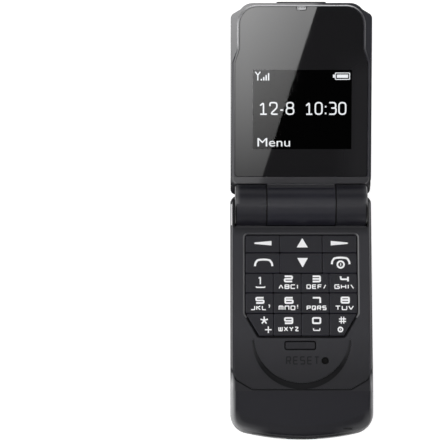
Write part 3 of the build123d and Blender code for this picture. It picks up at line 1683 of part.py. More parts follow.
with BuildPart() as lid_circuit_board:
    with BuildSketch(lid_level(board_bottom)):
        side = lid_half - lid_board_margin
        board_start = lid_cavity_start + lid_board_start_gap
        board_end = speaker_start - lid_board_end_gap
        add(block_plan(-side, side, board_start, board_end, lid_board_corner))
        with Locations(*lid_screw_places):
            Circle(lid_boss_radius + lid_board_boss_gap, mode=Mode.SUBTRACT)
    extrude(amount=lid_board_thickness)
lid_circuit_board.part.label = "lid_circuit_board"
export_step(lid_circuit_board.part, "parts/lid_circuit_board.step")

with BuildPart() as lid_magnet:
    with BuildSketch(lid_level(lid_seam_depth + magnet_size[2])):
        with Locations((lens_half - lid_screw_inset - magnet_inset, speaker_start)):
            RectangleRounded(magnet_size[0], magnet_size[1], magnet_corner)
    extrude(amount=magnet_size[2])
lid_magnet.part.label = "lid_magnet"
export_step(lid_magnet.part, "parts/lid_magnet.step")

with BuildPart() as flex_cable_lid:
    # Strip from the barrel's chamber to a connector on the lid's circuit board
    with BuildSketch(lid_level(strip_top + flex_thickness)):
        add(block_plan(strip_left, strip_right, lid_flex_start, strip_end))
    extrude(amount=flex_thickness)
    with BuildSketch(lid_level(board_bottom - lid_board_thickness)):
        add(block_plan(strip_left, strip_right, strip_end - lid_flex_plug_length, strip_end))
    extrude(amount=board_bottom - lid_board_thickness - strip_top)
flex_cable_lid.part.label = "flex_cable_lid"
export_step(flex_cable_lid.part, "parts/flex_cable_lid.step")

with BuildPart() as lid_screws:
    with BuildSketch(lid_level(lens_bottom + lid_screw_sink + lid_screw_head)):
        with Locations(*lid_screw_places):
            Circle(lid_screw_head_radius)
    extrude(amount=lid_screw_head)
    with BuildSketch(lid_level(inner_floor - lid_screw_end_gap)):
        with Locations(*lid_screw_places):
            Circle(lid_screw_radius)
    extrude(amount=inner_floor - lid_screw_end_gap - lens_bottom - lid_screw_head)
    with BuildSketch(lid_level(lens_bottom + lid_screw_sink + screw_cross_depth)):
        with Locations(*lid_screw_places):
            Rectangle(*screw_cross)
            Rectangle(*reversed(screw_cross))
    extrude(amount=screw_cross_depth, mode=Mode.SUBTRACT)
lid_screws.part.label = "lid_screws"
export_step(lid_screws.part, "parts/lid_screws.step")
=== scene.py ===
import json
import logging
import math
from dataclasses import dataclass, field
from enum import Enum
from typing import Callable, Iterable, Optional, Sequence, Union

import bmesh
import bpy
from mathutils import Matrix, Vector


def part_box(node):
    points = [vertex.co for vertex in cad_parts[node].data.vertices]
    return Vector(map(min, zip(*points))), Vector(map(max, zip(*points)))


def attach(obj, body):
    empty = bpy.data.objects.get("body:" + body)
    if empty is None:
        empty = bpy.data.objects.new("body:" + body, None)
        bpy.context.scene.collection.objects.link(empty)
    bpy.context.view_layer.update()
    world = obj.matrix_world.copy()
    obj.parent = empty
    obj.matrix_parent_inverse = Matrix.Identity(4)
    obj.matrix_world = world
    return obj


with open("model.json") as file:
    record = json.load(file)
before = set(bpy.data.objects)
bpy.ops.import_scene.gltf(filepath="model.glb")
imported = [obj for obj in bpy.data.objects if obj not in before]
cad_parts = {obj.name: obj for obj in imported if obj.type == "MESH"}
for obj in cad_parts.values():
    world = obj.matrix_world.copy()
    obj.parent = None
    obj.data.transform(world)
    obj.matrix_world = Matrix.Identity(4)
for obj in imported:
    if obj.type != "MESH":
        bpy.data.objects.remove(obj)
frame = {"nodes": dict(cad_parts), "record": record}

# Sizes are in millimetres unless a name says otherwise, and MM turns them into Blender's metres.
MM = 0.001
log = logging.getLogger("phone")

Socket = bpy.types.NodeSocket
Material = bpy.types.Material
Object = bpy.types.Object
Point = tuple[float, float]
Triple = tuple[float, float, float]
Colour = Triple
Operand = Union["Value", float]
Owner = Union[Material, bpy.types.World]

UP: Triple = (0.0, 0.0, 1.0)
CHINWARD: Triple = (0.0, -1.0, 0.0)
LEFTWARD: Triple = (-1.0, 0.0, 0.0)
RIGHTWARD: Triple = (1.0, 0.0, 0.0)


# Shader tools


def operator(operation: str, flipped: bool = False) -> Callable[["Value", Operand], "Value"]:
    """Makes the method of one arithmetic operator.

    Args:
        operation: Blender's name of the operation.
        flipped: whether self is the second operand.

    Returns:
        The method.
    """

    def method(self: "Value", other: Operand) -> "Value":
        """Adds the operator's Math node."""
        operands = (other, self) if flipped else (self, other)
        return self.math(operation, *operands)

    return method


class Value:
    """A number that comes out of a node. Arithmetic on it adds the Math nodes."""

    def __init__(self, shader: "Shader", socket: Socket) -> None:
        """Wraps a socket of a shader's tree."""
        self.shader = shader
        self.socket = socket

    __add__ = __radd__ = operator("ADD")
    __mul__ = __rmul__ = operator("MULTIPLY")
    __sub__ = operator("SUBTRACT")
    __rsub__ = operator("SUBTRACT", flipped=True)
    __pow__ = operator("POWER")
    __lt__ = operator("LESS_THAN")
    __gt__ = operator("GREATER_THAN")
    at_least = operator("MAXIMUM")

    def math(self, operation: str, *operands: Operand, clamp: bool = False) -> "Value":
        """Adds one Math node.

        Args:
            operation: Blender's name of the operation.
            operands: values or numbers, in the node's order.
            clamp: whether the result is kept between 0 and 1.

        Returns:
            The node's result.
        """
        settings = {"operation": operation, "use_clamp": clamp}
        return Value(self.shader, self.shader.output("Math", settings, dict(enumerate(operands))))

    def __abs__(self) -> "Value":
        """Size of self without its sign."""
        return self.math("ABSOLUTE", self)

    def sine(self) -> "Value":
        """Sine of self in radians."""
        return self.math("SINE", self)

    def between(self, low: float, high: float) -> "Value":
        """Ramps self from 0 at low to 1 at high, kept between them."""
        return self.math("MULTIPLY", self - low, 1.0 / (high - low), clamp=True)

    def within(self, low: float, high: float) -> "Value":
        """1 where self is between low and high, else 0."""
        return (self > low) * (self < high)

    def swing(self, amount: float) -> "Value":
        """Turns noise around 0.5 into a swing around 0."""
        return (self - 0.5) * amount


class Shader:
    """Node tree of one material or world, with one method that adds any node."""

    def __init__(self, owner: Owner) -> None:
        """Starts an empty tree on a material or a world."""
        owner.use_nodes = True
        self.owner = owner
        self.tree = owner.node_tree
        self.tree.nodes.clear()

    @classmethod
    def material(cls, name: str) -> "Shader":
        """Starts the tree of a new material."""
        return cls(bpy.data.materials.new(name))

    def node(
        self, kind: str, settings: Optional[dict] = None, inputs: Optional[dict] = None
    ) -> bpy.types.Node:
        """Adds one node.

        Args:
            kind: Blender's type name, without the ShaderNode that they all start with.
            settings: the node's own settings.
            inputs: values, or links, by the socket's name or number.

        Returns:
            The new node.
        """
        node = self.tree.nodes.new("ShaderNode" + kind)
        for name, setting in (settings or {}).items():
            setattr(node, name, setting)
        for key, given in (inputs or {}).items():
            socket = node.inputs[key]
            if isinstance(given, Value):
                given = given.socket
            if isinstance(given, Socket):
                self.tree.links.new(given, socket)
            elif isinstance(given, tuple) and socket.type == "RGBA":
                socket.default_value = (*given, 1.0)
            else:
                socket.default_value = given
        return node

    def output(
        self,
        kind: str,
        settings: Optional[dict] = None,
        inputs: Optional[dict] = None,
        name: Union[str, int] = 0,
    ) -> Socket:
        """Adds one node and gives the output of a name or number."""
        return self.node(kind, settings, inputs).outputs[name]

    def place(self) -> Socket:
        """Position on the piece, in millimetres."""
        metres = self.output("TexCoord", name="Object")
        return self.output("VectorMath", {"operation": "SCALE"}, {0: metres, "Scale": 1.0 / MM})

    def facing(self, direction: Triple) -> Value:
        """Finds how far the surface faces a direction.

        Args:
            direction: a direction of the piece, 1 long.

        Returns:
            1 where it faces that way, and -1 where it faces the other way.
        """
        inputs = {0: self.output("TexCoord", name="Normal"), 1: direction}
        product = self.output("VectorMath", {"operation": "DOT_PRODUCT"}, inputs, "Value")
        return Value(self, product)

    def axes(self, place: Socket) -> tuple[Value, ...]:
        """The three parts of a position."""
        outputs = self.node("SeparateXYZ", None, {0: place}).outputs
        return tuple(Value(self, outputs[axis]) for axis in "XYZ")

    def stretched(self, place: Socket, stretch: Triple) -> Socket:
        """Position multiplied along each axis, for marks that run one way."""
        return self.output("VectorMath", {"operation": "MULTIPLY"}, {0: place, 1: stretch})

    def noise(self, place: Socket, size: float, detail: float = 2.0) -> Value:
        """Soft noise.

        Args:
            place: position, in millimetres.
            size: size of its spots, in millimetres.
            detail: how much finer noise it holds.

        Returns:
            The noise, around 0.5.
        """
        inputs = {"Vector": place, "Scale": 1.0 / size, "Detail": detail}
        return Value(self, self.output("TexNoise", None, inputs))

    def mix(self, factor: Operand, first: Union[Colour, Socket], second: Colour) -> Socket:
        """Colour between first, at a factor of 0, and second, at 1."""
        inputs = {0: factor, 6: first, 7: second}
        return self.output("Mix", {"data_type": "RGBA"}, inputs, 2)

    def tinted(self, factor: Operand, colour: Colour, low: float, high: float) -> Socket:
        """A colour times low, at a factor of 0, to the same colour times high, at 1."""
        return self.mix(factor, shade(colour, low), shade(colour, high))

    def glow(self, strength: Operand) -> Socket:
        """White light of a strength."""
        return self.output("Emission", None, {"Color": (1.0, 1.0, 1.0), "Strength": strength})

    def bump(self, height: Value, depth: float) -> Socket:
        """Normal of a surface whose height varies by a depth in millimetres."""
        return self.output("Bump", None, {"Height": height, "Distance": depth * MM})

    def layer(self, **inputs: object) -> Socket:
        """Adds one Principled shader whose sockets are named with _ for each space."""
        named = {name.replace("_", " "): given for name, given in inputs.items()}
        return self.output("BsdfPrincipled", None, named)

    def mixed(self, factor: Value, first: Socket, second: Socket) -> Socket:
        """Shader between first, at a factor of 0, and second, at 1."""
        return self.output("MixShader", None, {0: factor, 1: first, 2: second})

    def end(self, surface: Socket, kind: str = "OutputMaterial") -> Owner:
        """Ends the tree in a shader, and gives its material or world."""
        self.node(kind, None, {"Surface": surface})
        return self.owner


def shade(colour: Colour, factor: float) -> Colour:
    """A colour made lighter or darker by a factor."""
    return tuple(min(1.0, channel * factor) for channel in colour)


@dataclass(frozen=True)
class HingeFrame:
    """Place of the hinge and the lid's tilt at rest."""

    axis_y: float = 28.7
    axis_z: float = 8.0
    tilt: float = math.radians(15.0)

    @property
    def inner_face(self) -> Triple:
        """Direction that the lid's inner face looks in."""
        return (0.0, -math.sin(self.tilt), math.cos(self.tilt))

    def lid_axes(self, back: Value, height: Value) -> tuple[Value, Value]:
        """Finds a point's place on the lid.

        Args:
            back: its y.
            height: its z.

        Returns:
            How far it is along the lid from the axis, and out of the lid's inner face.
        """
        sine, cosine = math.sin(self.tilt), math.cos(self.tilt)
        back, height = back - self.axis_y, height - self.axis_z
        return back * cosine + height * sine, height * cosine - back * sine

    def lid_place(self, across: float, along: float, depth: float) -> Matrix:
        """Finds a place on the lid.

        Args:
            across: how far it is to the right.
            along: how far it is from the axis.
            depth: how far it is below the lid's inner face.

        Returns:
            Its matrix in metres, with z out of the inner face.
        """
        turn = Matrix.Rotation(self.tilt, 4, "X")
        start = Matrix.Translation(Vector((0.0, self.axis_y, self.axis_z)) * MM)
        return start @ turn @ Matrix.Translation(Vector((across, along, -depth)) * MM)


# Finishes


@dataclass(frozen=True)
class Finish:
    """A named finish in one Principled shader. Each kind says what the shader is given."""

    name: str
    colour: Colour

    def inputs(self, shader: Shader, place: Socket) -> dict[str, object]:
        """Says what the shader's sockets are given.

        Args:
            shader: the tree that takes the nodes.
            place: position on the piece, in millimetres.

        Returns:
            Values or links, by the sockets' names with _ for each space.
        """
        raise NotImplementedError

    def material(self) -> Material:
        """Builds the material."""
        shader = Shader.material(self.name)
        return shader.end(shader.layer(**self.inputs(shader, shader.place())))


@dataclass(frozen=True)
class MouldedPlastic(Finish):
    """Black moulded plastic: fine grain, soft clouds in its gloss, and handling marks.

    The edges that face up and out can be smoother and paler, partly with wear and partly with a
    painted highlight.
    """

    roughness: float
    grain: float = 0.11
    grain_depth: float = 0.004
    cloud: float = 7.0
    cloud_swing: float = 0.1
    smear: float = 1.6
    smear_swing: float = 0.08
    smear_stretch: Triple = (1.0, 0.35, 1.0)
    tint: Point = (0.86, 1.16)
    shine: float = 0.5
    wear_and_sheen: float = 0.0
    wear_polish: float = 0.12
    edge_facing: Point = (0.2, 0.96)

    def inputs(self, shader: Shader, place: Socket) -> dict[str, object]:
        """Grain, clouds, smears and wear, as in Finish."""
        grain = shader.noise(place, self.grain)
        cloud = shader.noise(place, self.cloud, detail=3.0)
        smear = shader.noise(shader.stretched(place, self.smear_stretch), self.smear, detail=4.0)
        tint = (cloud * 0.6 + smear * 0.4).between(0.3, 0.7)
        colour = shader.tinted(tint, self.colour, *self.tint)
        roughness = self.roughness + cloud.swing(self.cloud_swing) + smear.swing(self.smear_swing)
        # Paler edges: partly wear, partly a painted highlight.
        if self.wear_and_sheen > 0.0:
            brightened = shader.facing(UP).within(*self.edge_facing) * smear.between(0.25, 0.5)
            colour = shader.mix(brightened, colour, shade(self.colour, 1.0 + self.wear_and_sheen))
            roughness = roughness - brightened * self.wear_polish
        return {
            "Base_Color": colour,
            "Roughness": roughness,
            "Specular_IOR_Level": self.shine,
            "Normal": shader.bump(grain, self.grain_depth),
        }


@dataclass(frozen=True)
class CoverPoint:
    """Values at a point of the front cover: its place, how it faces, its inset and its dust."""

    shader: Shader
    place: Socket
    across: Value
    along: Value
    height: Value
    side: Value
    up: Value
    inset: Value
    turned: Value
    dust: Value


@dataclass(frozen=True)
class FrontCoverPlastic(MouldedPlastic):
    """The front cover's plastic.

    Its outer sides are smoother and coated. The floors of its grooves and recesses, the tops of
    its cheeks, the plate by the barrel and towards the chin, and the chin's front wall get painted
    shade and a matt finish, and the whole chin is darker with painted shade. The sides, the slopes
    of the keypad's opening, the knuckles, the left edge by the hinge and the chin's bevel and
    corners get painted highlights, and a bump makes the chin look rounded towards its edge. A
    field that is a pair holds the start and the end of a stretch or a ramp.
    """

    half_width: float = 18.25
    side: float = 17.2
    chin_line: float = -19.3
    chin_end: float = -30.2
    hinge_line: float = 22.9
    chin_middle: float = 32.7
    chin_radius: float = 64.0
    corner_blend: float = 3.0
    turn_side: Point = (9.5, 15.5)
    plate_floor: float = 7.78
    chin_floor: float = 6.1

    opening_along: Point = (-0.5, 22.0)
    opening_side: float = 15.5
    opening_facing: Point = (0.5, 0.9)
    bevel_floor: float = 7.5

    rim_top: Point = (-17.5, -14.5)
    left_rim: Point = (0.3, 1.5)
    right_rim: Point = (0.2, 0.9)
    right_rim_share: float = 0.8
    rim_side: Point = (15.0, 17.3)
    least_facing: float = 0.3

    knuckle_side: Point = (15.4, 17.0)
    knuckle_end: float = 17.1
    knuckle_back: float = 28.2
    knuckle_height: float = 9.0
    cheek_side: Point = (16.9, 17.5)
    edge_start: Point = (17.7, 17.85)
    edge_end: Point = (18.05, 18.15)
    edge_along: Point = (23.5, 29.0)

    round_reach: float = 1.5
    round_depth: float = 0.32
    round_fade: float = 5.0
    flat_facing: float = 0.985
    corner_inset: Point = (0.9, 2.5)
    corner_side: Point = (8.0, 15.5)
    corner_top: Point = (-26.5, -24.0)

    tip_side: float = 8.0
    tip_top: float = -5.6
    tip_along: Point = (-17.0, -8.5)
    back_shade: Point = (20.5, 22.5)
    front_shade: Point = (-16.0, -4.0)
    front_facing: float = 0.85
    front_along: float = -26.0

    # Painted shade for the floors and for the chin; painted highlights for the chin's bevel, the
    # keypad opening's slopes, the rims and knuckles, the chin's corners and the cheeks' left edge.
    groove_shade: Colour = (0.007, 0.007, 0.0078)
    cut: Colour = (0.0034, 0.0032, 0.0072)
    bevel_highlight: Colour = (0.0085, 0.0082, 0.0115)
    opening_highlight: Colour = (0.14, 0.14, 0.145)
    rim_highlight: Colour = (0.34, 0.34, 0.345)
    corner_highlight: Colour = (0.085, 0.085, 0.088)
    cheek_edge_highlight: Colour = (0.55, 0.55, 0.56)

    def material(self) -> Material:
        """Builds the material out of the body, the chin and the painted shade of the floors.

        Returns:
            The material.
        """
        shader = Shader.material(self.name)
        at = self._point(shader)
        opening = at.up.within(*self.opening_facing) * at.along.within(*self.opening_along)
        opening = opening * (at.side < self.opening_side) * (at.height > self.bevel_floor)
        rim = self._rim_highlight(at)
        on_chin = at.along < self.chin_line
        whole = shader.mixed(on_chin, self._body(at, opening, rim), self._chin(at, rim))
        # Painted shade over the floors, the recesses and the cheeks' tops.
        shade_mask = self._painted_shade(at, opening, on_chin)
        return shader.end(shader.mixed(shade_mask, whole, self._floor(at)))

    def _point(self, shader: Shader) -> CoverPoint:
        """Works out the values at a point.

        Args:
            shader: the tree that takes the nodes.

        Returns:
            The values. The inset is how far the point lies inside the cover's outline.
        """
        place = shader.place()
        across, along, height = shader.axes(place)
        side = abs(across)
        reach = along - self.chin_middle
        away = self.chin_radius - (across * across + reach * reach) ** 0.5
        beside = self.half_width - side
        return CoverPoint(
            shader=shader,
            place=place,
            across=across,
            along=along,
            height=height,
            side=side,
            up=shader.facing(UP),
            inset=beside.math("SMOOTH_MIN", beside, away, self.corner_blend),
            turned=side.between(*self.turn_side),
            dust=shader.noise(place, 0.5, detail=3.0),
        )

    def _rim_highlight(self, at: CoverPoint) -> Value:
        """Finds where the rim's painted highlight goes.

        Args:
            at: the values at a point.

        Returns:
            1 where the rim's painted highlight goes, round the lower half's sides, strongest at
            their outside and weaker on the right.
        """
        left = (1.0 - at.inset.between(*self.left_rim)) * (at.across < 0.0)
        right = (1.0 - at.inset.between(*self.right_rim)) * (at.across > 0.0)
        rim = (left + right * self.right_rim_share) * (1.0 - at.along.between(*self.rim_top))
        rim = rim * at.turned * (at.up > self.least_facing)
        return rim * (at.side.between(*self.rim_side) * 0.6 + 0.4)

    def _body(self, at: CoverPoint, opening: Value, rim: Value) -> Socket:
        """Makes the shader above the chin, with its painted highlights.

        Args:
            at: the values at a point.
            opening: 1 on the slope round the keypad's opening.
            rim: 1 where the rim's painted highlight goes.

        Returns:
            The shader.
        """
        shader, side, on_left = at.shader, at.side, at.across < 0.0
        # Painted highlight on the knuckles' sides, stronger on the left.
        ramp = side.between(*self.knuckle_side)
        knuckle = ramp * ramp * (side < self.knuckle_end) * (0.25 + on_left * 0.4)
        knuckle = knuckle * (at.along > self.knuckle_back) * (at.height > self.knuckle_height)
        # Painted highlight along the left edge beside the hinge.
        edge = side.between(*self.edge_start) * (1.0 - side.between(*self.edge_end)) * on_left
        edge = edge * at.along.within(*self.edge_along) * (at.up > self.least_facing)
        sideways = abs(shader.facing(RIGHTWARD)).between(0.2, 0.6)
        inputs = self.inputs(shader, at.place)
        # Painted highlights: the keypad opening's slopes, more where they face sideways, then the
        # knuckles, the left edge and the rim.
        for mask, brightened in (
            (opening * (sideways * 0.65 + 0.35), self.opening_highlight),
            (knuckle, self.rim_highlight),
            (edge, self.cheek_edge_highlight),
            (rim, self.rim_highlight),
        ):
            inputs["Base_Color"] = shader.mix(mask, inputs["Base_Color"], brightened)
        outer = (at.up < 0.97) * (side > self.side)
        inputs["Roughness"] = self.roughness + at.dust.swing(0.1) - outer * 0.2
        return shader.layer(**inputs, Coat_Weight=outer * 0.15, Coat_Roughness=0.18)

    def _chin(self, at: CoverPoint, rim: Value) -> Socket:
        """Makes the chin's shader: darker with painted shade, with painted highlights on its
        bevel, corners and rim, and a bump that makes it look rounded towards the outline.

        Args:
            at: the values at a point.
            rim: 1 where the rim's painted highlight goes.

        Returns:
            The shader.
        """
        shader = at.shader
        drop = (self.round_reach - at.inset).at_least(0.0)
        fade = 1.0 - at.along.between(self.chin_line - self.round_fade, self.chin_line)
        corner = (1.0 - at.inset.between(*self.corner_inset)) * at.side.between(*self.corner_side)
        corner = corner * (1.0 - at.along.between(*self.corner_top))
        # The chin's colour is painted shade, darker than the plate as if its slope got less light.
        colour = shader.tinted(at.dust, self.cut, 0.9, 1.1)
        # Painted highlights on the bevel, the corners and the rim.
        for mask, over in (
            (at.up < self.flat_facing, self.bevel_highlight),
            (corner * (at.up > self.least_facing), self.corner_highlight),
            (rim, self.rim_highlight),
        ):
            colour = shader.mix(mask, colour, over)
        smooth = (drop * 0.15).between(0.0, 1.0)
        return shader.layer(
            Base_Color=colour,
            Roughness=self.roughness + at.dust.swing(0.1) - smooth,
            Specular_IOR_Level=0.28,
            Coat_Weight=(drop * at.turned * fade * 0.5).between(0.0, 1.0),
            Coat_Roughness=0.25,
            Normal=shader.bump(drop * drop * fade * -self.round_depth, 1.0),
        )

    def _painted_shade(self, at: CoverPoint, opening: Value, on_chin: Value) -> Value:
        """Finds where painted shade goes.

        Args:
            at: the values at a point.
            opening: 1 on the slope round the keypad's opening.
            on_chin: 1 on the chin.

        Returns:
            1 on the floors and the cheeks' tops, less at the crescent's tips, and part of the way
            on the plate by the barrel, on the plate towards the chin and on the chin's front wall.
        """
        # Painted shade: floors and recesses, fading at the crescent's tips, the plate by the
        # barrel and towards the chin, the chin's front wall and the cheeks' tops.
        side, along = at.side, at.along
        plate = along.within(self.chin_line, self.hinge_line) * (at.height < self.plate_floor)
        well = on_chin * (along > self.chin_end) * (at.height < self.chin_floor)
        tips = (side > self.tip_side) * (along < self.tip_top) * along.between(*self.tip_along)
        back = along.between(*self.back_shade) * (along < self.hinge_line)
        front = (1.0 - along.between(*self.front_shade)) * (along > self.chin_line)
        inner = (side < self.side) * (1.0 - opening)
        dark = inner * ((plate + well) * (1.0 - tips * 0.85) + back * 0.6 + front * 0.5)
        wall = (at.up < self.front_facing) * (along < self.front_along) * (1.0 - at.turned)
        cheek = (along > self.hinge_line) * side.within(*self.cheek_side)
        return (dark + wall * 0.85 + cheek).between(0.0, 1.0)

    def _floor(self, at: CoverPoint) -> Socket:
        """Makes the shader of the painted shade: dark, matt and made uneven by dust.

        Args:
            at: the values at a point.

        Returns:
            The shader.
        """
        return at.shader.layer(
            Base_Color=at.shader.tinted(at.dust, self.groove_shade, 1.0, 1.6),
            Roughness=0.7 + at.dust.swing(0.2),
            Specular_IOR_Level=0.12,
            Normal=at.shader.bump(at.dust, 0.01),
        )


@dataclass(frozen=True)
class LidFramePlastic(MouldedPlastic):
    """The inner frame's plastic: lacquered beyond the barrel, with a bright-cut bevel."""

    hinge: HingeFrame = HingeFrame()
    lacquer_start: float = 5.6
    lacquer_shine: float = 0.3
    foot: Triple = (4.7, 5.6, 7.35)
    # Colours of the painted highlights on the strip by the barrel's root and on the shoulder.
    foot_highlight: Colour = (0.036, 0.0352, 0.0405)
    foot_end: float = 0.75
    shoulder_depth: float = -0.75
    shoulder_highlight: Colour = (0.024, 0.0237, 0.0265)
    bevel_start: float = 38.0
    bevel_fade: float = 4.0
    bevel_facing: Point = (0.55, 0.85)
    side_facing: Point = (0.15, 0.6)
    bevel: Colour = (0.85, 0.85, 0.86)
    # Painted shade on the bevel where it faces left and where it faces right.
    left_bevel_shade: Colour = (0.42, 0.42, 0.43)
    right_bevel_shade: Colour = (0.15, 0.15, 0.153)
    right_dulling: float = 0.8

    def material(self) -> Material:
        """Builds the material out of the body and the bright-cut bevel.

        Returns:
            The material.
        """
        shader = Shader.material(self.name)
        place = shader.place()
        along, depth = self.hinge.lid_axes(*shader.axes(place)[1:])
        up = shader.facing(self.hinge.inner_face)
        left, right = (
            shader.facing(side).between(*self.side_facing) for side in (LEFTWARD, RIGHTWARD)
        )
        reach = along.between(self.bevel_start, self.bevel_start + self.bevel_fade)
        slope = up.within(*self.bevel_facing) * (depth > self.shoulder_depth)

        inputs = self.inputs(shader, place)
        root, step, end = self.foot
        foot = along.within(root, end)
        # Painted highlights: the strip by the barrel's root and the shoulder are lighter.
        for mask, over in (
            (foot, shade(self.foot_highlight, self.foot_end)),
            (foot * (along < step), self.foot_highlight),
            ((along > self.bevel_start) * (depth < self.shoulder_depth), self.shoulder_highlight),
        ):
            inputs["Base_Color"] = shader.mix(mask, inputs["Base_Color"], over)
        plain = shader.layer(**inputs)
        inputs["Specular_IOR_Level"] = self.lacquer_shine
        coat = 1.0 - right * (1.0 - reach) * self.right_dulling
        lacquered = shader.layer(**inputs, Coat_Weight=coat, Coat_Roughness=0.04)
        body = shader.mixed(along > self.lacquer_start, plain, lacquered)

        # Painted shade: the bevel is darker where it faces right, and less so where it faces left.
        colour = shader.mix(right, self.bevel, self.right_bevel_shade)
        rub = shader.noise(place, 0.6, detail=3.0)
        cut = shader.layer(
            Base_Color=shader.mix(left, colour, self.left_bevel_shade),
            Metallic=0.9,
            Roughness=0.3 + rub.swing(0.2),
        )
        return shader.end(shader.mixed(slope * reach, body, cut))


@dataclass(frozen=True)
class PlatedMetal(Finish):
    """Metal or metal-plated plastic with fine lines along one axis.

    A painted shade can darken the half that faces the chin; its strength is 0 where none is
    painted.
    """

    roughness: float
    lines: Triple = (1.0, 0.06, 1.0)
    line_size: float = 0.12
    line_depth: float = 0.002
    metallic: float = 1.0
    chinward_shade: float = 0.0
    chinward_shade_colour: Colour = (0.004, 0.004, 0.004)

    def inputs(self, shader: Shader, place: Socket) -> dict[str, object]:
        """Fine lines and soft clouds, as in Finish."""
        lines = shader.noise(shader.stretched(place, self.lines), self.line_size, detail=3.0)
        cloud = shader.noise(place, 3.0)
        tint = (lines * 0.5 + cloud * 0.5).between(0.3, 0.7)
        colour = shader.tinted(tint, self.colour, 0.88, 1.08)
        # Painted shade on the half that faces the chin.
        if self.chinward_shade > 0.0:
            front = shader.facing(CHINWARD).between(0.0, 0.2)
            colour = shader.mix(front * self.chinward_shade, colour, self.chinward_shade_colour)
        return {
            "Base_Color": colour,
            "Metallic": self.metallic,
            "Roughness": self.roughness + lines.swing(0.12) + cloud.swing(0.08),
            "Normal": shader.bump(lines, self.line_depth),
        }


@dataclass(frozen=True)
class Speckled(Finish):
    """A skin with pale patches, an uneven gloss and, where it has a depth, raised grain.

    patch and grain are noises by size and detail. The patches ramp between two levels of their
    noise, and the colour is times the tint's first number outside them and its second inside.
    """

    roughness: float
    patch: Point = (1.8, 3.0)
    levels: Point = (0.4, 0.8)
    tint: Point = (1.0, 1.35)
    grain: Point = (0.18, 4.0)
    stretch: Triple = (1.0, 1.0, 1.0)
    unevenness: float = 0.2
    depth: float = 0.01
    shine: float = 0.5

    def inputs(self, shader: Shader, place: Socket) -> dict[str, object]:
        """Patches and grain, as in Finish."""
        patch = shader.noise(place, *self.patch).between(*self.levels)
        grain = shader.noise(shader.stretched(place, self.stretch), *self.grain)
        inputs = {
            "Base_Color": shader.tinted(patch, self.colour, *self.tint),
            "Roughness": self.roughness + grain.swing(self.unevenness),
            "Specular_IOR_Level": self.shine,
        }
        if self.depth > 0.0:
            inputs["Normal"] = shader.bump(grain, self.depth)
        return inputs


@dataclass(frozen=True)
class SoftRubber(Speckled):
    """Matt rubber or silicone with a powdery surface."""

    shine: float = 0.4


@dataclass(frozen=True)
class PrintedSheet(Speckled):
    """Plain printed or wrapped sheet, with faint fibres and scuffed patches."""

    patch: Point = (5.0, 2.0)
    levels: Point = (0.35, 0.75)
    tint: Point = (1.0, 1.2)
    grain: Point = (0.35, 4.0)
    stretch: Triple = (0.3, 1.0, 1.0)
    unevenness: float = 0.15
    depth: float = 0.006


@dataclass(frozen=True)
class LegendInk(Speckled):
    """Pale ink of the key legends, a little uneven where it was printed."""

    roughness: float = 0.5
    patch: Point = (0.08, 2.0)
    levels: Point = (0.3, 0.7)
    tint: Point = (0.93, 1.0)
    grain: Point = (0.08, 2.0)
    unevenness: float = 0.1
    depth: float = 0.002


@dataclass(frozen=True)
class DisplayGlass(Speckled):
    """Dark face of a display between its lit signs, with its faint pixel grain."""

    roughness: float = 0.3
    patch: Point = (0.2, 1.0)
    levels: Point = (0.0, 1.0)
    tint: Point = (1.0, 1.6)
    grain: Point = (4.0, 2.0)
    unevenness: float = 0.1
    depth: float = 0.0
    shine: float = 0.0


@dataclass(frozen=True)
class CircuitBoard(Finish):
    """Solder mask over copper tracks, with tinned spots."""

    copper: Colour = (0.09, 0.3, 0.12)
    tin: Colour = (0.7, 0.7, 0.68)
    track: float = 0.9
    spot_spacing: float = 2.3
    spot: float = 0.16

    def inputs(self, shader: Shader, place: Socket) -> dict[str, object]:
        """Tracks, spots and the board's weave, as in Finish."""
        brick = {"Vector": place, "Scale": 1.0 / self.track, "Mortar Size": 0.09}
        line = Value(shader, shader.output("TexBrick", {"offset": 0.35}, brick, "Fac"))
        cell = {"Vector": place, "Scale": 1.0 / self.spot_spacing}
        spots = Value(shader, shader.output("TexVoronoi", None, cell, "Distance")) < self.spot
        weave = shader.noise(place, 0.3, detail=3.0)
        masked = shader.mix(line, self.colour, self.copper)
        return {
            "Base_Color": shader.mix(spots, masked, self.tin),
            "Metallic": spots * 0.9,
            "Roughness": 0.36 + weave.swing(0.15),
            "Normal": shader.bump(line + spots, 0.02),
        }


@dataclass(frozen=True)
class FlexFilm(Finish):
    """Amber film with fine copper tracks along it."""

    track: float = 0.5

    def inputs(self, shader: Shader, place: Socket) -> dict[str, object]:
        """Tracks under a cloudy film, as in Finish."""
        tracks = (shader.axes(place)[0] * (math.tau / self.track)).sine() > 0.1
        cloud = shader.noise(place, 1.2)
        return {
            "Base_Color": shader.tinted(tracks, self.colour, 1.0, 0.55),
            "Roughness": 0.35 + cloud.swing(0.2),
            "Normal": shader.bump(tracks, 0.01),
        }


@dataclass(frozen=True)
class LitPixels(Finish):
    """Light of the display's signs, with the fine grid of its pixels."""

    strength: float
    pixel: float = 0.2

    def inputs(self, shader: Shader, place: Socket) -> dict[str, object]:
        """The lit grid, as in Finish."""
        turn = math.tau / self.pixel
        across, along = ((axis * turn).sine() for axis in shader.axes(place)[:2])
        grid = (across * across * along * along).between(0.0, 0.4)
        return {
            "Base_Color": (0.0, 0.0, 0.0),
            "Roughness": 0.6,
            "Emission_Color": shader.tinted(grid, self.colour, 0.9, 1.0),
            "Emission_Strength": self.strength,
        }


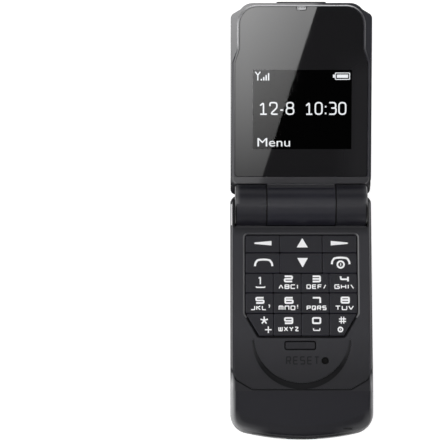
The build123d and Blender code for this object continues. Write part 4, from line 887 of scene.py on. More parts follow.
@dataclass(frozen=True)
class ScreenLens(Finish):
    """Clear lens, printed black behind all but the display's window."""

    hinge: HingeFrame
    window_centre: Point
    window_size: Point
    window_alpha: float
    # Where the print is paler with a painted sheen.
    pale_across: Point = (8.0, 14.5)
    pale_along: Point = (33.0, 40.0)

    def inputs(self, shader: Shader, place: Socket) -> dict[str, object]:
        """The print, the window, faint smears and a painted sheen, as in Finish."""
        across, back, height = shader.axes(place)
        along, _ = self.hinge.lid_axes(back, height)
        beside = abs(across - self.window_centre[0]) < self.window_size[0] / 2
        beyond = abs(along - self.window_centre[1]) < self.window_size[1] / 2
        window = beside * beyond
        smear = shader.noise(shader.stretched(place, (1.0, 0.5, 0.5)), 4.0, detail=4.0)
        # Painted sheen: the print is paler towards the right side and towards the hinge.
        pale = across.between(*self.pale_across) * (1.0 - along.between(*self.pale_along))
        printed = shader.tinted(pale, self.colour, 1.0, 1.6)
        return {
            "Base_Color": shader.mix(window, printed, (0.0, 0.0, 0.0)),
            "Roughness": 0.015 + smear.swing(0.02),
            "Alpha": 1.0 - window * (1.0 - self.window_alpha),
        }


# Flat shapes: bands, plates and letters


def moved(points: Iterable[Point], offset: Point) -> list[Point]:
    """The points, each moved by an offset."""
    return [(x + offset[0], y + offset[1]) for x, y in points]


def round_about(centre: Point, radius: float, count: int, start: float = 0.0) -> list[Point]:
    """Spaces points evenly round a circle.

    Args:
        centre: the circle's centre.
        radius: its radius.
        count: how many points there are.
        start: the first point's angle, in radians.

    Returns:
        The points, anticlockwise.
    """
    angles = [start + math.tau * index / count for index in range(count)]
    return moved([(radius * math.cos(turn), radius * math.sin(turn)) for turn in angles], centre)


def add_object(name: str, mesh: bmesh.types.BMesh, place: Matrix) -> Object:
    """Ends a mesh as an object.

    Args:
        name: the piece's name.
        mesh: the mesh, which is used up.
        place: where the mesh's origin lies, in metres.

    Returns:
        The new object.
    """
    mesh.transform(place)
    bmesh.ops.recalc_face_normals(mesh, faces=mesh.faces)
    data = bpy.data.meshes.new(name)
    mesh.to_mesh(data)
    mesh.free()
    piece = bpy.data.objects.new(name, data)
    bpy.context.scene.collection.objects.link(piece)
    return piece


class Plotter:
    """Builds thin flat plates and bands, in millimetres, into one mesh."""

    ARC_STEPS = 4
    BEND_SHARE = 0.48
    LEAST_MITRE = 0.35
    LEAST_NOTCH = 0.2

    def __init__(self, thickness: float) -> None:
        """Starts an empty mesh whose plates have a thickness."""
        self.mesh = bmesh.new()
        self.thickness = thickness

    def plate(self, outline: Sequence[Point]) -> None:
        """Adds a plate.

        Args:
            outline: its corners, anticlockwise.
        """
        count = len(outline)
        rim = [((index + 1) % count, index) for index in range(count)]
        self._prism([range(count)], outline, rim)

    def band(
        self,
        line: Sequence[Point],
        width: float,
        corner: float = 0.0,
        closed: bool = False,
        trim: Point = (0.0, 0.0),
    ) -> None:
        """Adds a band of even width along a line.

        Args:
            line: the points of its middle line.
            width: the width of the band.
            corner: the radius of its bends, at the middle line.
            closed: whether the line returns to its start.
            trim: how much is taken off its start and its end.
        """
        path = [Vector(point) for point in line]
        if not closed:
            path[0] = path[0] + (path[1] - path[0]).normalized() * trim[0]
            path[-1] = path[-1] + (path[-2] - path[-1]).normalized() * trim[1]
        path = self._rounded(path, corner, closed)
        count = len(path)
        left, right = [], []
        for index, point in enumerate(path):
            before = path[index - 1] if closed or index > 0 else None
            after = path[(index + 1) % count] if closed or index < count - 1 else None
            across = self._mitre(before, point, after) * width / 2
            left.append(point + across)
            right.append(point - across)
        quads, rim = [], []
        for index in range(count if closed else count - 1):
            following = (index + 1) % count
            quads.append([index + count, following + count, following, index])
            rim += [(following, index), (index + count, following + count)]
        if not closed:
            rim += [(0, count), (2 * count - 1, count - 1)]
        self._prism(quads, [tuple(point) for point in left + right], rim)

    def spokes(self, centre: Point, tips: Sequence[Point], width: float) -> None:
        """Adds bands that run out from a centre, as one plate.

        Args:
            centre: where the bands meet.
            tips: where each ends, anticlockwise.
            width: the width of the bands.
        """
        middle = Vector(centre)
        arms = [Vector(tip) - middle for tip in tips]
        outline: list[Point] = []
        for index, arm in enumerate(arms):
            following = arms[(index + 1) % len(arms)]
            side = Vector((-arm.y, arm.x)).normalized()
            outline.append(tuple(middle + arm - side * width / 2))
            outline.append(tuple(middle + arm + side * width / 2))
            angle = arm.angle_signed(following)
            opening = -angle if angle < 0 else math.tau - angle
            notch = arm.normalized() + following.normalized()
            if notch.length < 1e-4:
                notch = side
            if opening > math.pi:
                notch = -notch
            reach = width / 2 / max(self.LEAST_NOTCH, math.sin(opening / 2))
            outline.append(tuple(middle + notch.normalized() * reach))
        self.plate(outline)

    def ring(self, centre: Point, radius: float, width: float, sides: int = 28) -> None:
        """Adds a ring whose middle line has a radius."""
        self.band(round_about(centre, radius, sides), width, closed=True)

    def piece(self, name: str, place: Matrix) -> Object:
        """Ends the mesh as an object whose plates lie with their lower side on a place."""
        self.mesh.transform(Matrix.Scale(MM, 4))
        return add_object(name, self.mesh, place)

    def _prism(
        self,
        faces: Iterable[Sequence[int]],
        corners: Sequence[Point],
        rim: Iterable[tuple[int, int]],
    ) -> None:
        """Adds the same faces at the lower and the upper side, and walls between them.

        Args:
            faces: the corners of each face, anticlockwise.
            corners: where the corners are.
            rim: the edges that get a wall.
        """
        low = [self.mesh.verts.new((x, y, 0.0)) for x, y in corners]
        high = [self.mesh.verts.new((x, y, self.thickness)) for x, y in corners]
        for face in faces:
            self.mesh.faces.new([high[index] for index in face])
            self.mesh.faces.new([low[index] for index in reversed(face)])
        for start, end in rim:
            self.mesh.faces.new((low[start], low[end], high[end], high[start]))

    @classmethod
    def _mitre(cls, before: Optional[Vector], point: Vector, after: Optional[Vector]) -> Vector:
        """Finds the way across a band.

        Args:
            before: the point before, or None at the start.
            point: the point on the band's middle line.
            after: the point after, or None at the end.

        Returns:
            The direction to the left edge, longer where the line bends.
        """
        arrive = (point - (point - (after - point) if before is None else before)).normalized()
        leave = (point + (point - before) if after is None else after) - point
        mean = (arrive + leave.normalized()).normalized()
        side = Vector((-mean.y, mean.x))
        leave = leave.normalized()
        return side / max(cls.LEAST_MITRE, side.dot(Vector((-leave.y, leave.x))))

    @classmethod
    def _rounded(cls, path: list[Vector], radius: float, closed: bool) -> list[Vector]:
        """Replaces a path's corners by short arcs.

        Args:
            path: the path's points.
            radius: the arcs' radius.
            closed: whether the path returns to its start.

        Returns:
            The new path.
        """
        if radius <= 0:
            return path
        result: list[Vector] = []
        for index, point in enumerate(path):
            if not closed and index in (0, len(path) - 1):
                result.append(point)
                continue
            back = path[index - 1] - point
            ahead = path[(index + 1) % len(path)] - point
            reach = min(
                radius / math.tan(back.angle(ahead) / 2),
                back.length * cls.BEND_SHARE,
                ahead.length * cls.BEND_SHARE,
            )
            start, end = point + back.normalized() * reach, point + ahead.normalized() * reach
            for share in (step / cls.ARC_STEPS for step in range(cls.ARC_STEPS + 1)):
                result.append(start.lerp(point, share).lerp(point.lerp(end, share), share))
        return result


@dataclass(frozen=True)
class Stroke:
    """One line of a letter. Its points lie in a box from 0 to 1, and its ends may be trimmed."""

    points: tuple[Point, ...]
    closed: bool
    trim: Point


Letters = dict[str, tuple[Stroke, ...]]


def strokes(text: str) -> tuple[Stroke, ...]:
    """Reads the strokes of a letter.

    Args:
        text: the points of each stroke as x,y with ; between the strokes. A stroke also says
            closed, or start= or end= with the parts of a line's width that this end loses.

    Returns:
        The strokes.
    """
    found = []
    for line in text.split(";"):
        points, trim = [], {"start": 0.0, "end": 0.0}
        for word in line.replace("closed", "").split():
            if "=" in word:
                end, parts = word.split("=")
                trim[end] = float(parts)
            else:
                points.append(tuple(float(number) for number in word.split(",")))
        found.append(Stroke(tuple(points), "closed" in line, (trim["start"], trim["end"])))
    return tuple(found)


def alphabet(letters: dict[str, str]) -> Letters:
    """Reads the strokes of every letter."""
    return {letter: strokes(text) for letter, text in letters.items()}


BOX = "0,0 1,0 1,1 0,1 closed"
ARCH = "0,0 0,1 1,1 1,0"
CUP = "0,1 0,0 1,0 1,1"
DOUBLE_BOX = BOX + "; 0,0.5 1,0.5 start=0.5 end=0.5"
LOOP = "0,0 0,1 1,1 1,0.45 0,0.45 end=0.5"
SNAKE = "1,1 0,1 0,0.5 1,0.5 1,0 0,0"
SQUARE_LETTERS = alphabet(
    {
        "0": BOX,
        "2": "0,1 1,1 1,0.5 0,0.5 0,0 1,0",
        "3": "0,1 1,1 1,0 0,0; 0,0.5 1,0.5 end=0.5",
        "4": "0,1 0.06,0.42 1,0.42 end=0.5; 1,0.9 1,0",
        "5": SNAKE,
        "6": "1,1 0,1 0,0 1,0 1,0.54 0,0.54 end=0.5",
        "7": "0,1 1,1 1,0",
        "8": DOUBLE_BOX,
        "9": "0,0 1,0 1,1 0,1 0,0.46 1,0.46 end=0.5",
        "A": "0,0 0.5,1 1,0",
        "B": DOUBLE_BOX,
        "C": "1,1 0,1 0,0 1,0",
        "D": BOX,
        "E": "1,1 0,1 0,0 1,0; 0,0.5 0.95,0.5 start=0.5",
        "F": "1,1 0,1 0,0; 0,0.5 0.9,0.5 start=0.5",
        "G": "1,1 0,1 0,0 1,0 1,0.5 0.5,0.5",
        "H": "0,0 0,1; 1,0 1,1; 0,0.5 1,0.5 start=0.5 end=0.5",
        "I": "0.5,0 0.5,1",
        "J": "1,1 1,0 0,0",
        "K": "0,0 0,1; 0,0.5 1,1 start=0.55; 0.3,0.5 1,0 start=0.55",
        "L": "0,1 0,0 1,0",
        "m": ARCH + "; 0.5,0 0.5,1 end=0.5",
        "n": ARCH,
        "o": BOX,
        "P": LOOP,
        "Q": BOX + "; 0.55,0.45 0.85,0.15 end=0.2",
        "R": LOOP + "; 0.5,0.45 1,0 start=0.7",
        "S": SNAKE,
        "T": "0,1 1,1; 0.5,1 0.5,0 start=0.5",
        "U": CUP,
        "V": "0,1 0.45,0 1,1",
        "W": CUP + "; 0.5,1 0.5,0 end=0.5",
        "Y": "0,1 0.5,0.5 1,1; 0.5,0.5 0.5,0 start=0.3",
        "Z": "0,1 1,1 0,0 1,0",
        "|": "0.5,0 0.5,1",
        "/": "0.1,0 0.9,1",
        "\\": "0.1,1 0.9,0",
        "'": "0.3,1.3 0.8,1.3 0.6,0.55",
        "!": "0.6,1.35 0.6,0.72; 0.6,0.52 0.6,0.36",
    }
)
NARROW = {"I": 0.35, "|": 0.4, "/": 0.75, "\\": 0.75, "'": 0.7, "!": 0.45}
ROUND_DIGITS = alphabet(
    {
        "0": BOX,
        "1": "0.1,0.74 0.55,1 0.55,0 end=0.5; 0.1,0 1,0",
        "2": "0.02,0.7 0.02,1 0.95,1 0.95,0.55 0.02,0 1.05,0",
        "3": "0,1 0.95,1 0.95,0.53 0.3,0.53; 0.55,0.53 1,0.53 1,0 0,0",
        "8": "0.06,0.53 0.94,0.53 0.94,1 0.06,1 closed; 0,0 1,0 1,0.53 0,0.53 closed",
        "-": "0,0.36 1,0.36",
        ":": "0.5,0 0.5,0.14; 0.5,0.58 0.5,0.72",
    }
)
ROUND_NARROW = {"-": 0.5, ":": 0.32}


@dataclass(frozen=True)
class Lettering:
    """Letters of one height, width and line, with a gap between them.

    The corner is the radius of their bends, in parts of the line's width. A narrow letter has
    a share of the width.
    """

    height: float
    width: float
    line: float
    gap: float
    corner: float = 0.6
    letters: Letters = field(default_factory=lambda: SQUARE_LETTERS)
    narrow: dict[str, float] = field(default_factory=lambda: NARROW)

    def draw(
        self, plotter: Plotter, text: str, centre: Point, length: Optional[float] = None
    ) -> None:
        """Adds a text to a plotter's mesh.

        Args:
            plotter: takes the letters.
            text: the letters.
            centre: the middle of the text.
            length: the length that the text fills, if its letters aren't of their own width.
        """
        shares = [self.narrow.get(letter, 1.0) for letter in text]
        gaps = self.gap * (len(text) - 1)
        width = self.width if length is None else (length - gaps) / sum(shares)
        left = centre[0] - (width * sum(shares) + gaps) / 2
        low = centre[1] - self.height / 2
        tall = self.height - self.line
        for letter, share in zip(text, shares):
            start = (left + self.line / 2, low + self.line / 2)
            wide = width * share - self.line
            if letter == "X":
                (middle,) = moved([(wide / 2, tall / 2)], start)
                corners = ((wide, tall), (0.0, tall), (0.0, 0.0), (wide, 0.0))
                plotter.spokes(middle, moved(corners, start), self.line)
            for part in self.letters.get(letter, ()):
                points = moved([(x * wide, y * tall) for x, y in part.points], start)
                trim = (part.trim[0] * self.line, part.trim[1] * self.line)
                plotter.band(points, self.line, self.line * self.corner, part.closed, trim)
            left += width * share + self.gap


def round_word(name: str, text: str, size: Point, thickness: float, place: Matrix) -> Object:
    """Makes a word in Blender's own round letters, as a closed mesh of a set size.

    Args:
        name: the piece's name.
        text: the word.
        size: width and height, in millimetres.
        thickness: how thick the letters are, in millimetres.
        place: where the middle of the word lies, in metres.

    Returns:
        The new object.
    """
    curve = bpy.data.curves.new(name + "_line", "FONT")
    curve.body = text
    curve.extrude = 0.1
    curve.resolution_u = 6
    writer = bpy.data.objects.new(name + "_writer", curve)
    bpy.context.scene.collection.objects.link(writer)
    bpy.context.view_layer.update()
    graph = bpy.context.evaluated_depsgraph_get()
    data = bpy.data.meshes.new_from_object(writer.evaluated_get(graph))
    bpy.data.objects.remove(writer)
    bpy.data.curves.remove(curve)
    work = bmesh.new()
    work.from_mesh(data)
    bpy.data.meshes.remove(data)
    bmesh.ops.remove_doubles(work, verts=work.verts, dist=1e-5)
    low = Vector(min(vertex.co[axis] for vertex in work.verts) for axis in range(3))
    high = Vector(max(vertex.co[axis] for vertex in work.verts) for axis in range(3))
    middle = (low + high) / 2
    scale = [wanted / span * MM for wanted, span in zip((*size, thickness), high - low)]
    for vertex in work.verts:
        offset = vertex.co - middle
        vertex.co = Vector(offset[axis] * scale[axis] for axis in range(3))
        vertex.co.z += thickness * MM / 2
    return add_object(name, work, place)


# Sub-assemblies


def finish_piece(piece: Object, body: str, material: Material) -> None:
    """Gives a new piece its material and its body, and reports it.

    Args:
        piece: the piece.
        body: the body that it rides on.
        material: its material.
    """
    piece.data.materials.clear()
    piece.data.materials.append(material)
    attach(piece, body)
    log.info("piece %s on %s", piece.name, body)


@dataclass
class FinishSet:
    """The finishes of the CAD model's material slots, and of the nodes that need their own."""

    hinge: HingeFrame

    def build(self) -> tuple[dict[str, Material], dict[str, Material]]:
        """Builds the materials.

        Returns:
            One material for each slot, and the nodes' own by the node's name.
        """
        cover: Colour = (0.0069, 0.0066, 0.0112)
        slots = {
            "case_plastic": MouldedPlastic(
                "case_satin", (0.0076, 0.0073, 0.0108), 0.42, shine=0.4
            ),
            "plate_plastic": MouldedPlastic("plate_satin", cover, 0.4),
            "key_plastic": MouldedPlastic(
                "key_satin",
                (0.0055, 0.0053, 0.0095),
                0.5,
                grain=0.07,
                grain_depth=0.002,
                shine=0.4,
                wear_and_sheen=1.8,
            ),
            "silver_trim": PlatedMetal("trim_silver", (0.72, 0.73, 0.74), 0.3, line_depth=0.0006),
            "hinge_caps": PlatedMetal(
                "cap_gunmetal", (0.16, 0.16, 0.165), 0.35, lines=(1.0, 0.5, 0.5), chinward_shade=0.95
            ),
            "lens": ScreenLens(
                "lens_glass",
                (0.0105, 0.0103, 0.0112),
                self.hinge,
                window_centre=(0.3, 24.7),
                window_size=(25.4, 20.4),
                window_alpha=0.55,
            ),
            "display": DisplayGlass("display_dark", (0.001, 0.001, 0.0012)),
            "board": CircuitBoard("board_green", (0.02, 0.11, 0.05)),
            "tin_shield": PlatedMetal("shield_tin", (0.7, 0.7, 0.69), 0.35, line_size=0.3),
            "steel": PlatedMetal("steel_plain", (0.56, 0.56, 0.57), 0.32),
            "gold_contact": PlatedMetal("contact_gold", (0.83, 0.62, 0.25), 0.28),
            "rubber": SoftRubber("pad_rubber", (0.0075, 0.0072, 0.0105), 0.55),
            "silicone": SoftRubber("mat_silicone", (0.008, 0.008, 0.009), 0.7),
            "battery_wrap": PrintedSheet("battery_sleeve", (0.12, 0.13, 0.15), 0.4),
            "flex": FlexFilm("flex_amber", (0.5, 0.27, 0.07)),
            "card": PrintedSheet("card_pale", (0.8, 0.8, 0.78), 0.45),
            "acetal": SoftRubber("acetal_black", (0.02, 0.02, 0.021), 0.4),
        }
        own = {
            "base_front_cover": FrontCoverPlastic("front_cover_satin", cover, 0.4),
            "lid_inner_frame": LidFramePlastic(
                "lid_frame_lacquer", (0.0078, 0.0075, 0.0135), 0.38, hinge=self.hinge
            ),
            "earpiece_mesh": PlatedMetal("mesh_grey", (0.62, 0.62, 0.63), 0.4, metallic=0.8),
            "reset_plunger": MouldedPlastic("reset_matt", (0.004, 0.004, 0.004), 0.8, shine=0.1),
        }
        return tuple(
            {name: finish.material() for name, finish in finishes.items()}
            for finishes in (slots, own)
        )

    def dress(self, nodes: dict[str, Object], rows: Sequence[dict]) -> None:
        """Gives every CAD node its own material, or that of its slot.

        Args:
            nodes: the CAD objects by name.
            rows: the record's row of each node.
        """
        slots, own = self.build()
        for row in rows:
            name, slot = row["node"], row["material_slot"]
            data = nodes[name].data
            data.materials.clear()
            data.materials.append(own.get(name, slots[slot]))
            log.info("node %s in %s", name, slot)


class Legend(Enum):
    """What is printed on a key that has no number."""

    LEFT = "left"
    RIGHT = "right"
    UP = "up"
    DOWN = "down"
    CALL = "call"
    END = "end"
    STAR = "star"
    HASH = "hash"


@dataclass
class KeyLegends:
    """Legends printed on the key caps.

    Places are measured from the middle of a key's cell. A number's row says how high its
    figure and its letters stand, and its shift moves the figure alone.
    """

    ink: LegendInk = LegendInk("legend_white", (0.95, 0.95, 0.96))
    thickness: float = 0.02
    sink: float = 0.008
    digits: Lettering = Lettering(1.8, 2.36, 0.45, 0.3)
    letters: Lettering = Lettering(1.2, 1.36, 0.27, 0.26)
    middle: float = 0.3
    letter_rows: dict[str, tuple[str, float]] = field(
        default_factory=lambda: {
            "2": ("ABC|", 5.13),
            "3": ("DEF/", 5.13),
            "4": ("GHI\\", 5.13),
            "5": ("JKL'", 5.13),
            "6": ("mno!", 5.13),
            "7": ("PQRS", 5.13),
            "8": ("TUV", 4.8),
            "9": ("WXYZ", 5.3),
        }
    )
    rows: dict[str, Point] = field(
        default_factory=lambda: {
            **dict.fromkeys("1234", (1.07, -0.94)),
            **dict.fromkeys("5678", (0.88, -1.22)),
            **dict.fromkeys("90", (1.19, -1.12)),
        }
    )
    shifts: dict[str, Point] = field(
        default_factory=lambda: {
            "5": (-0.17, -0.17),
            "6": (0.12, -0.17),
            "7": (0.0, -0.17),
            "8": (0.2, -0.1),
            "9": (0.0, -0.15),
            "0": (0.0, -0.15),
        }
    )
    one_line: float = 0.34
    tray: tuple[Point, ...] = ((-1.1, 0.1), (-0.85, -0.08), (1.05, -0.08), (1.3, 0.1))
    space: tuple[Point, ...] = ((-0.8, 0.3), (-0.8, -0.25), (0.8, -0.25), (0.8, 0.3))

    def build(self) -> None:
        """Prints every key."""
        material = self.ink.material()
        for number, row in self.rows.items():
            plotter = Plotter(self.thickness)
            self._number(plotter, number, row)
            self._place(plotter, "key_" + number, material)
        for legend in Legend:
            plotter = Plotter(self.thickness)
            self._sign(plotter, legend)
            self._place(plotter, "key_" + legend.value, material)

    def _place(self, plotter: Plotter, key: str, material: Material) -> None:
        """Lays a legend on its key, at the middle of the key's cell.

        Args:
            plotter: holds the legend.
            key: the key's node.
            material: the ink.
        """
        low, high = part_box(key)
        middle = Vector(((low.x + high.x) / 2, (low.y + high.y) / 2, high.z - self.sink * MM))
        piece = plotter.piece(key.replace("key_", "legend_"), Matrix.Translation(middle))
        finish_piece(piece, key, material)

    def _number(self, plotter: Plotter, number: str, row: Point) -> None:
        """Adds a figure and what stands below it: letters, a tray or the space sign.

        Args:
            plotter: takes them.
            number: the figure.
            row: how high the figure and the letters stand.
        """
        high, low = row
        if number == "1":
            figure = ((-0.05, -1.39), (-0.05, 0.45), (-0.47, 0.15))
            plotter.band(moved(figure, (self.middle, high)), self.one_line, 0.05)
            foot = moved(self.tray, (self.middle - 0.1, low - 0.1))
            plotter.band(foot, self.one_line, 0.2)
            return
        across, along = self.shifts.get(number, (0.0, 0.0))
        self.digits.draw(plotter, number, (self.middle + across, high + along))
        if number in self.letter_rows:
            letters, length = self.letter_rows[number]
            self.letters.draw(plotter, letters, (self.middle, low), length)
        else:
            plotter.band(moved(self.space, (self.middle, low - 0.1)), 0.28, 0.12)

    def _sign(self, plotter: Plotter, legend: Legend) -> None:
        """Adds one of the signs of the keys without a number.

        Args:
            plotter: takes the sign.
            legend: which sign it is.
        """
        if legend in (Legend.LEFT, Legend.RIGHT):
            side, x = (1.0, 0.05) if legend is Legend.LEFT else (-1.0, 0.02)
            wedge = ((-2.2, 0.1), (-1.9, -0.02), (2.25, -0.38), (2.25, 0.8), (-1.9, 0.4))
            outline = [(x + across * side, along) for across, along in (*wedge, (-2.2, 0.28))]
            plotter.plate(outline if side > 0 else outline[::-1])
        elif legend is Legend.UP:
            plotter.plate([(-1.1, -0.9), (1.75, -0.9), (0.4, 1.42), (0.25, 1.42)])
        elif legend is Legend.DOWN:
            plotter.plate([(0.3, -1.05), (0.45, -1.05), (1.75, 1.3), (-1.0, 1.3)])
        elif legend is Legend.CALL:
            self._handset(plotter, (0.25, 0.22), 4.5)
        elif legend is Legend.END:
            self._handset(plotter, (0.28, 0.72), 4.6)
            plotter.ring((0.28, -0.4), 0.85, 0.45)
            plotter.band([(0.28, -0.72), (0.28, -0.08)], 0.24)
        elif legend is Legend.STAR:
            star, plus = (1.06, 1.1), (2.11, -1.3)
            plotter.spokes(star, round_about(star, 1.0, 5, math.pi / 2), 0.36)
            plotter.spokes(plus, round_about(plus, 0.85, 4), 0.32)
        elif legend is Legend.HASH:
            self._hash(plotter, (-0.1, 1.15))
            plotter.ring((-0.65, -1.25), 0.56, 0.36)
            plotter.band([(-0.65, -1.5), (-0.65, -1.0)], 0.18)

    @staticmethod
    def _handset(plotter: Plotter, centre: Point, width: float) -> None:
        """Adds a telephone handset: a bar whose round ends turn down.

        Args:
            plotter: takes the sign.
            centre: the middle of the sign.
            width: how wide it is.
        """
        end = moved(((0.0, -1.05), (0.12, -0.3), (0.6, 0.45), (1.3, 0.62)), (-width / 2, 0.0))
        line = [*end, (0.0, 0.68), *((-x, y) for x, y in reversed(end))]
        plotter.band(moved(line, centre), 0.52, 0.5)

    @staticmethod
    def _hash(plotter: Plotter, centre: Point) -> None:
        """Adds a hash sign whose bars meet without crossing.

        Args:
            plotter: takes the sign.
            centre: the middle of the sign.
        """
        x, y = centre
        line, half, step = 0.28, 0.9, 0.32
        cut = line / 2
        for side in (-step, step):
            plotter.band([(x + side, y - half), (x + side, y + half)], line)
            for start, end in ((-half, -step - cut), (cut - step, step - cut), (step + cut, half)):
                plotter.band([(x + start, y + side), (x + end, y + side)], line)


@dataclass
class FrontPlate:
    """Lettering cut into the front plate beside the small recessed button."""

    centre: Point = (0.23, -11.5)
    letters: Lettering = Lettering(2.15, 1.35, 0.34, 0.45)
    thickness: float = 0.02
    sink: float = 0.012
    above_key: float = 0.1
    finish: Finish = MouldedPlastic(
        "cut_letters", (0.0055, 0.0053, 0.007), 0.6, grain=0.07, shine=0.24
    )

    def build(self) -> None:
        """Letters the plate."""
        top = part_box("key_1")[1].z + (self.above_key - self.sink) * MM
        plotter = Plotter(self.thickness)
        self.letters.draw(plotter, "RESET", self.centre)
        piece = plotter.piece("reset_letters", Matrix.Translation((0.0, 0.0, top)))
        finish_piece(piece, "base", self.finish.material())


@dataclass
class KnuckleWashers:
    """Thin black washers in the gaps between the middle knuckle and the side knuckles."""

    hinge: HingeFrame
    across: float = 8.875
    radius: float = 4.55
    width: float = 1.2
    thickness: float = 0.16
    sides: int = 48
    finish: Finish = SoftRubber("washer_black", (0.006, 0.006, 0.006), 0.6)

    def build(self) -> None:
        """Makes both washers."""
        material = self.finish.material()
        turn = Matrix.Rotation(math.pi / 2, 4, "Y")
        for name, middle in (("washer_left", -self.across), ("washer_right", self.across)):
            plotter = Plotter(self.thickness)
            plotter.ring((0.0, 0.0), self.radius, self.width, self.sides)
            across = middle - self.thickness / 2
            place = Vector((across, self.hinge.axis_y, self.hinge.axis_z)) * MM
            washer = plotter.piece(name, Matrix.Translation(place) @ turn)
            finish_piece(washer, "base", material)


@dataclass
class ScreenContent:
    """What the display shows: signs, a date, a time and the name of the left key."""

    hinge: HingeFrame
    light: LitPixels = LitPixels("pixels_white", (0.95, 0.97, 1.0), 4.8)
    depth: float = 1.13
    thickness: float = 0.03
    signal: Point = (-9.9, 33.3)
    battery: Point = (10.4, 33.25)
    digits: Lettering = Lettering(3.35, 2.0, 0.37, 0.42, 2.8, ROUND_DIGITS, ROUND_NARROW)
    date: tuple[str, Point, float] = ("12-8", (-6.3, 24.95), 9.2)
    time: tuple[str, Point, float] = ("10:30", (6.35, 24.95), 10.7)
    word: tuple[str, Point, Point] = ("Menu", (-7.0, 16.2), (8.4, 2.2))
    bar_top: float = -0.75
    bar_rise: float = 0.5
    bar_step: float = 0.62

    def build(self) -> None:
        """Draws the display's signs and words."""
        material = self.light.material()
        for name, (text, centre, length) in (
            ("screen_date", self.date),
            ("screen_time", self.time),
        ):
            plotter = Plotter(self.thickness)
            self.digits.draw(plotter, text, (0.0, 0.0), length)
            self._light(plotter.piece(name, self._place(centre)), material)
        text, centre, size = self.word
        word = round_word("screen_word", text, size, self.thickness, self._place(centre))
        self._light(word, material)
        for name, draw, centre in (
            ("screen_signal", self._signal, self.signal),
            ("screen_battery", self._battery, self.battery),
        ):
            plotter = Plotter(self.thickness)
            draw(plotter)
            self._light(plotter.piece(name, self._place(centre)), material)

    def _place(self, centre: Point) -> Matrix:
        """Matrix of a point on the display."""
        return self.hinge.lid_place(*centre, self.depth)

    @staticmethod
    def _light(piece: Object, material: Material) -> None:
        """Lights a piece on the lid's display."""
        finish_piece(piece, "lid", material)

    def _signal(self, plotter: Plotter) -> None:
        """Draws a mast with two arms, and four bars that grow to the right.

        Args:
            plotter: takes the sign.
        """
        plotter.spokes((-1.25, 0.2), [(-0.6, 1.1), (-1.9, 1.1), (-1.25, -1.15)], 0.28)
        for number in range(4):
            left, top = -0.5 + number * self.bar_step, self.bar_top + number * self.bar_rise
            plotter.plate([(left, -1.15), (left + 0.34, -1.15), (left + 0.34, top), (left, top)])

    @staticmethod
    def _battery(plotter: Plotter) -> None:
        """Draws a battery whose contact points left, with its charge as one bar.

        Args:
            plotter: takes the sign.
        """
        outline = [(-1.6, -0.82), (2.1, -0.82), (2.1, 0.82), (-1.6, 0.82)]
        plotter.band(outline, 0.2, 0.2, closed=True)
        plotter.plate([(-2.2, -0.4), (-1.73, -0.4), (-1.73, 0.4), (-2.2, 0.4)])
        plotter.plate([(-1.2, -0.42), (1.7, -0.42), (1.7, 0.42), (-1.2, 0.42)])


@dataclass(frozen=True)
class Softbox:
    """A rectangular light that faces the phone. A radiance of 1 is white."""

    name: str
    place: Triple
    size: Point
    radiance: float

    def build(self, aim: Vector) -> None:
        """Makes the light.

        Args:
            aim: the point that it faces, in metres.
        """
        data = bpy.data.lights.new(self.name, "AREA")
        data.shape = "RECTANGLE"
        data.size, data.size_y = self.size[0] * MM, self.size[1] * MM
        data.energy = self.radiance * math.pi * data.size * data.size_y
        lamp = bpy.data.objects.new(self.name, data)
        lamp.location = Vector(self.place) * MM
        lamp.rotation_euler = (aim - lamp.location).to_track_quat("-Z", "Y").to_euler()
        lamp.visible_camera = False
        bpy.context.scene.collection.objects.link(lamp)


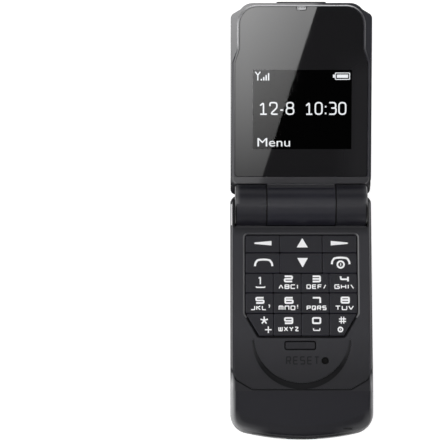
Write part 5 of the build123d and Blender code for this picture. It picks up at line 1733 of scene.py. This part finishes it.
@dataclass
class Studio:
    """Floor, lights and camera."""

    target: Triple = (-20.88, 24.92, 7.39)
    distance: float = 540.0
    elevation: float = math.radians(80.88)
    half_view: float = 56.865
    sensor: float = 36.0
    lamp_aim: Triple = (0.0, 20.0, 0.0)
    boxes: tuple[Softbox, ...] = (
        Softbox("left_box", (-750.0, -250.0, 300.0), (900.0, 300.0), 4.0),
        Softbox("right_box", (700.0, -250.0, 350.0), (700.0, 300.0), 1.0),
        Softbox("back_box", (0.0, 900.0, 380.0), (1500.0, 150.0), 1.2),
        Softbox("top_panel", (0.0, 250.0, 900.0), (600.0, 480.0), 1.15),
        Softbox("left_fill", (-700.0, 50.0, 600.0), (500.0, 500.0), 4.0),
        Softbox("right_fill", (700.0, 50.0, 600.0), (500.0, 500.0), 3.0),
        Softbox("front_box", (0.0, -750.0, 750.0), (900.0, 300.0), 0.9),
    )
    floor_half: float = 4000.0
    floor_height: float = -0.2
    floor_paint: Colour = (0.82, 0.82, 0.82)
    seen_paint: Colour = (0.5, 0.5, 0.5)
    seen_glow: float = 0.78
    horizon: Colour = (0.31, 0.31, 0.32)
    overhead: Colour = (0.03, 0.03, 0.031)
    card_height: float = 900.0
    card_edge: tuple[Point, Point] = ((46.2, -157.8), (7.5, -288.3))
    card_back: float = -45.0
    card_step: float = -325.0
    card_front: float = -480.0
    card_left: float = -75.0
    card_half: float = 250.0

    def build(self) -> None:
        """Sets up the whole studio."""
        self._floor()
        self._world()
        self._window_card()
        for box in self.boxes:
            box.build(Vector(self.lamp_aim) * MM)
        self._camera()
        bpy.context.scene.view_settings.view_transform = "Standard"

    @staticmethod
    def _stage(name: str, corners: Sequence[Triple], face: Sequence[int]) -> Object:
        """Adds a flat sheet that isn't part of the phone.

        Args:
            name: its name.
            corners: its corners, in millimetres.
            face: the order of its corners.

        Returns:
            The sheet.
        """
        data = bpy.data.meshes.new(name)
        data.from_pydata([[number * MM for number in corner] for corner in corners], [], [face])
        sheet = bpy.data.objects.new(name, data)
        bpy.context.scene.collection.objects.link(sheet)
        return sheet

    def _floor(self) -> None:
        """Makes the plain floor, which is white to the camera and in reflections."""
        half = self.floor_half
        corners = [(-half, -half, 0), (half, -half, 0), (half, half, 0), (-half, half, 0)]
        floor = self._stage("floor", corners, range(4))
        floor.location.z = self.floor_height * MM
        shader = Shader.material("floor_white")
        path = shader.node("LightPath")
        seen, *others = (
            Value(shader, path.outputs[ray])
            for ray in ("Is Camera Ray", "Is Glossy Ray", "Is Transmission Ray")
        )
        for other in others:
            seen = seen.at_least(other)
        paint, half_paint = (
            shader.output("BsdfDiffuse", None, {"Color": colour})
            for colour in (self.floor_paint, self.seen_paint)
        )
        both = shader.output("AddShader", None, {0: half_paint, 1: shader.glow(self.seen_glow)})
        floor.data.materials.append(shader.end(shader.mixed(seen, paint, both)))

    def _world(self) -> None:
        """Makes the room: pale round the horizon and dim overhead."""
        world = bpy.data.worlds.new("room")
        bpy.context.scene.world = world
        shader = Shader(world)
        direction = shader.output("TexCoord", name="Generated")
        rise = shader.axes(direction)[2].between(0.1, 0.8)
        colour = shader.mix(rise, self.horizon, self.overhead)
        room = shader.output("Background", None, {"Color": colour, "Strength": 1.0})
        shader.end(room, "OutputWorld")

    def _window_card(self) -> None:
        """Makes the overhead light, whose slanted edge shows in the screen lens."""
        near, far = (Vector(point) for point in self.card_edge)
        slope = (near - far) / (near.y - far.y)
        back, step, front, wide = self.card_back, self.card_step, self.card_front, self.card_half
        outline = [
            (-wide, front),
            (wide, front),
            (wide, step),
            (near.x + slope.x * (step - near.y), step),
            (near.x + slope.x * (back - near.y), back),
            (self.card_left, back),
            (self.card_left, step),
            (-wide, step),
        ]
        corners = [(x, y, self.card_height) for x, y in outline]
        card = self._stage("window_card", corners, range(len(corners))[::-1])
        card.visible_camera = False
        shader = Shader.material("card_light")
        across, along, _ = shader.axes(shader.place())
        bright = 1.08 + 5.32 * along.between(-285.0, -160.0) + 0.5 * (along < -320.0)
        power = bright * (1.15 - 0.37 * across.between(-3.0, 37.0))
        card.data.materials.append(shader.end(shader.glow(power)))

    def _camera(self) -> None:
        """Places the camera."""
        data = bpy.data.cameras.new("camera")
        data.sensor_width = self.sensor
        data.lens = self.sensor * self.distance / (2 * self.half_view)
        data.clip_start, data.clip_end = 0.01, 10.0
        camera = bpy.data.objects.new("camera", data)
        back = Vector((0.0, -math.cos(self.elevation), math.sin(self.elevation)))
        camera.location = (Vector(self.target) + back * self.distance) * MM
        camera.rotation_euler = (math.pi / 2 - self.elevation, 0.0, 0.0)
        bpy.context.scene.collection.objects.link(camera)
        bpy.context.scene.camera = camera


def main() -> None:
    """Dresses the phone, adds its lettering and its lit screen, and sets up the studio."""
    logging.basicConfig(level=logging.INFO, format="%(name)s: %(message)s")
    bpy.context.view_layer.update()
    hinge = HingeFrame()
    Studio().build()
    FinishSet(hinge).dress(frame["nodes"], frame["record"]["subparts"])
    KeyLegends().build()
    FrontPlate().build()
    KnuckleWashers(hinge).build()
    ScreenContent(hinge).build()


if __name__ == "__main__":
    main()
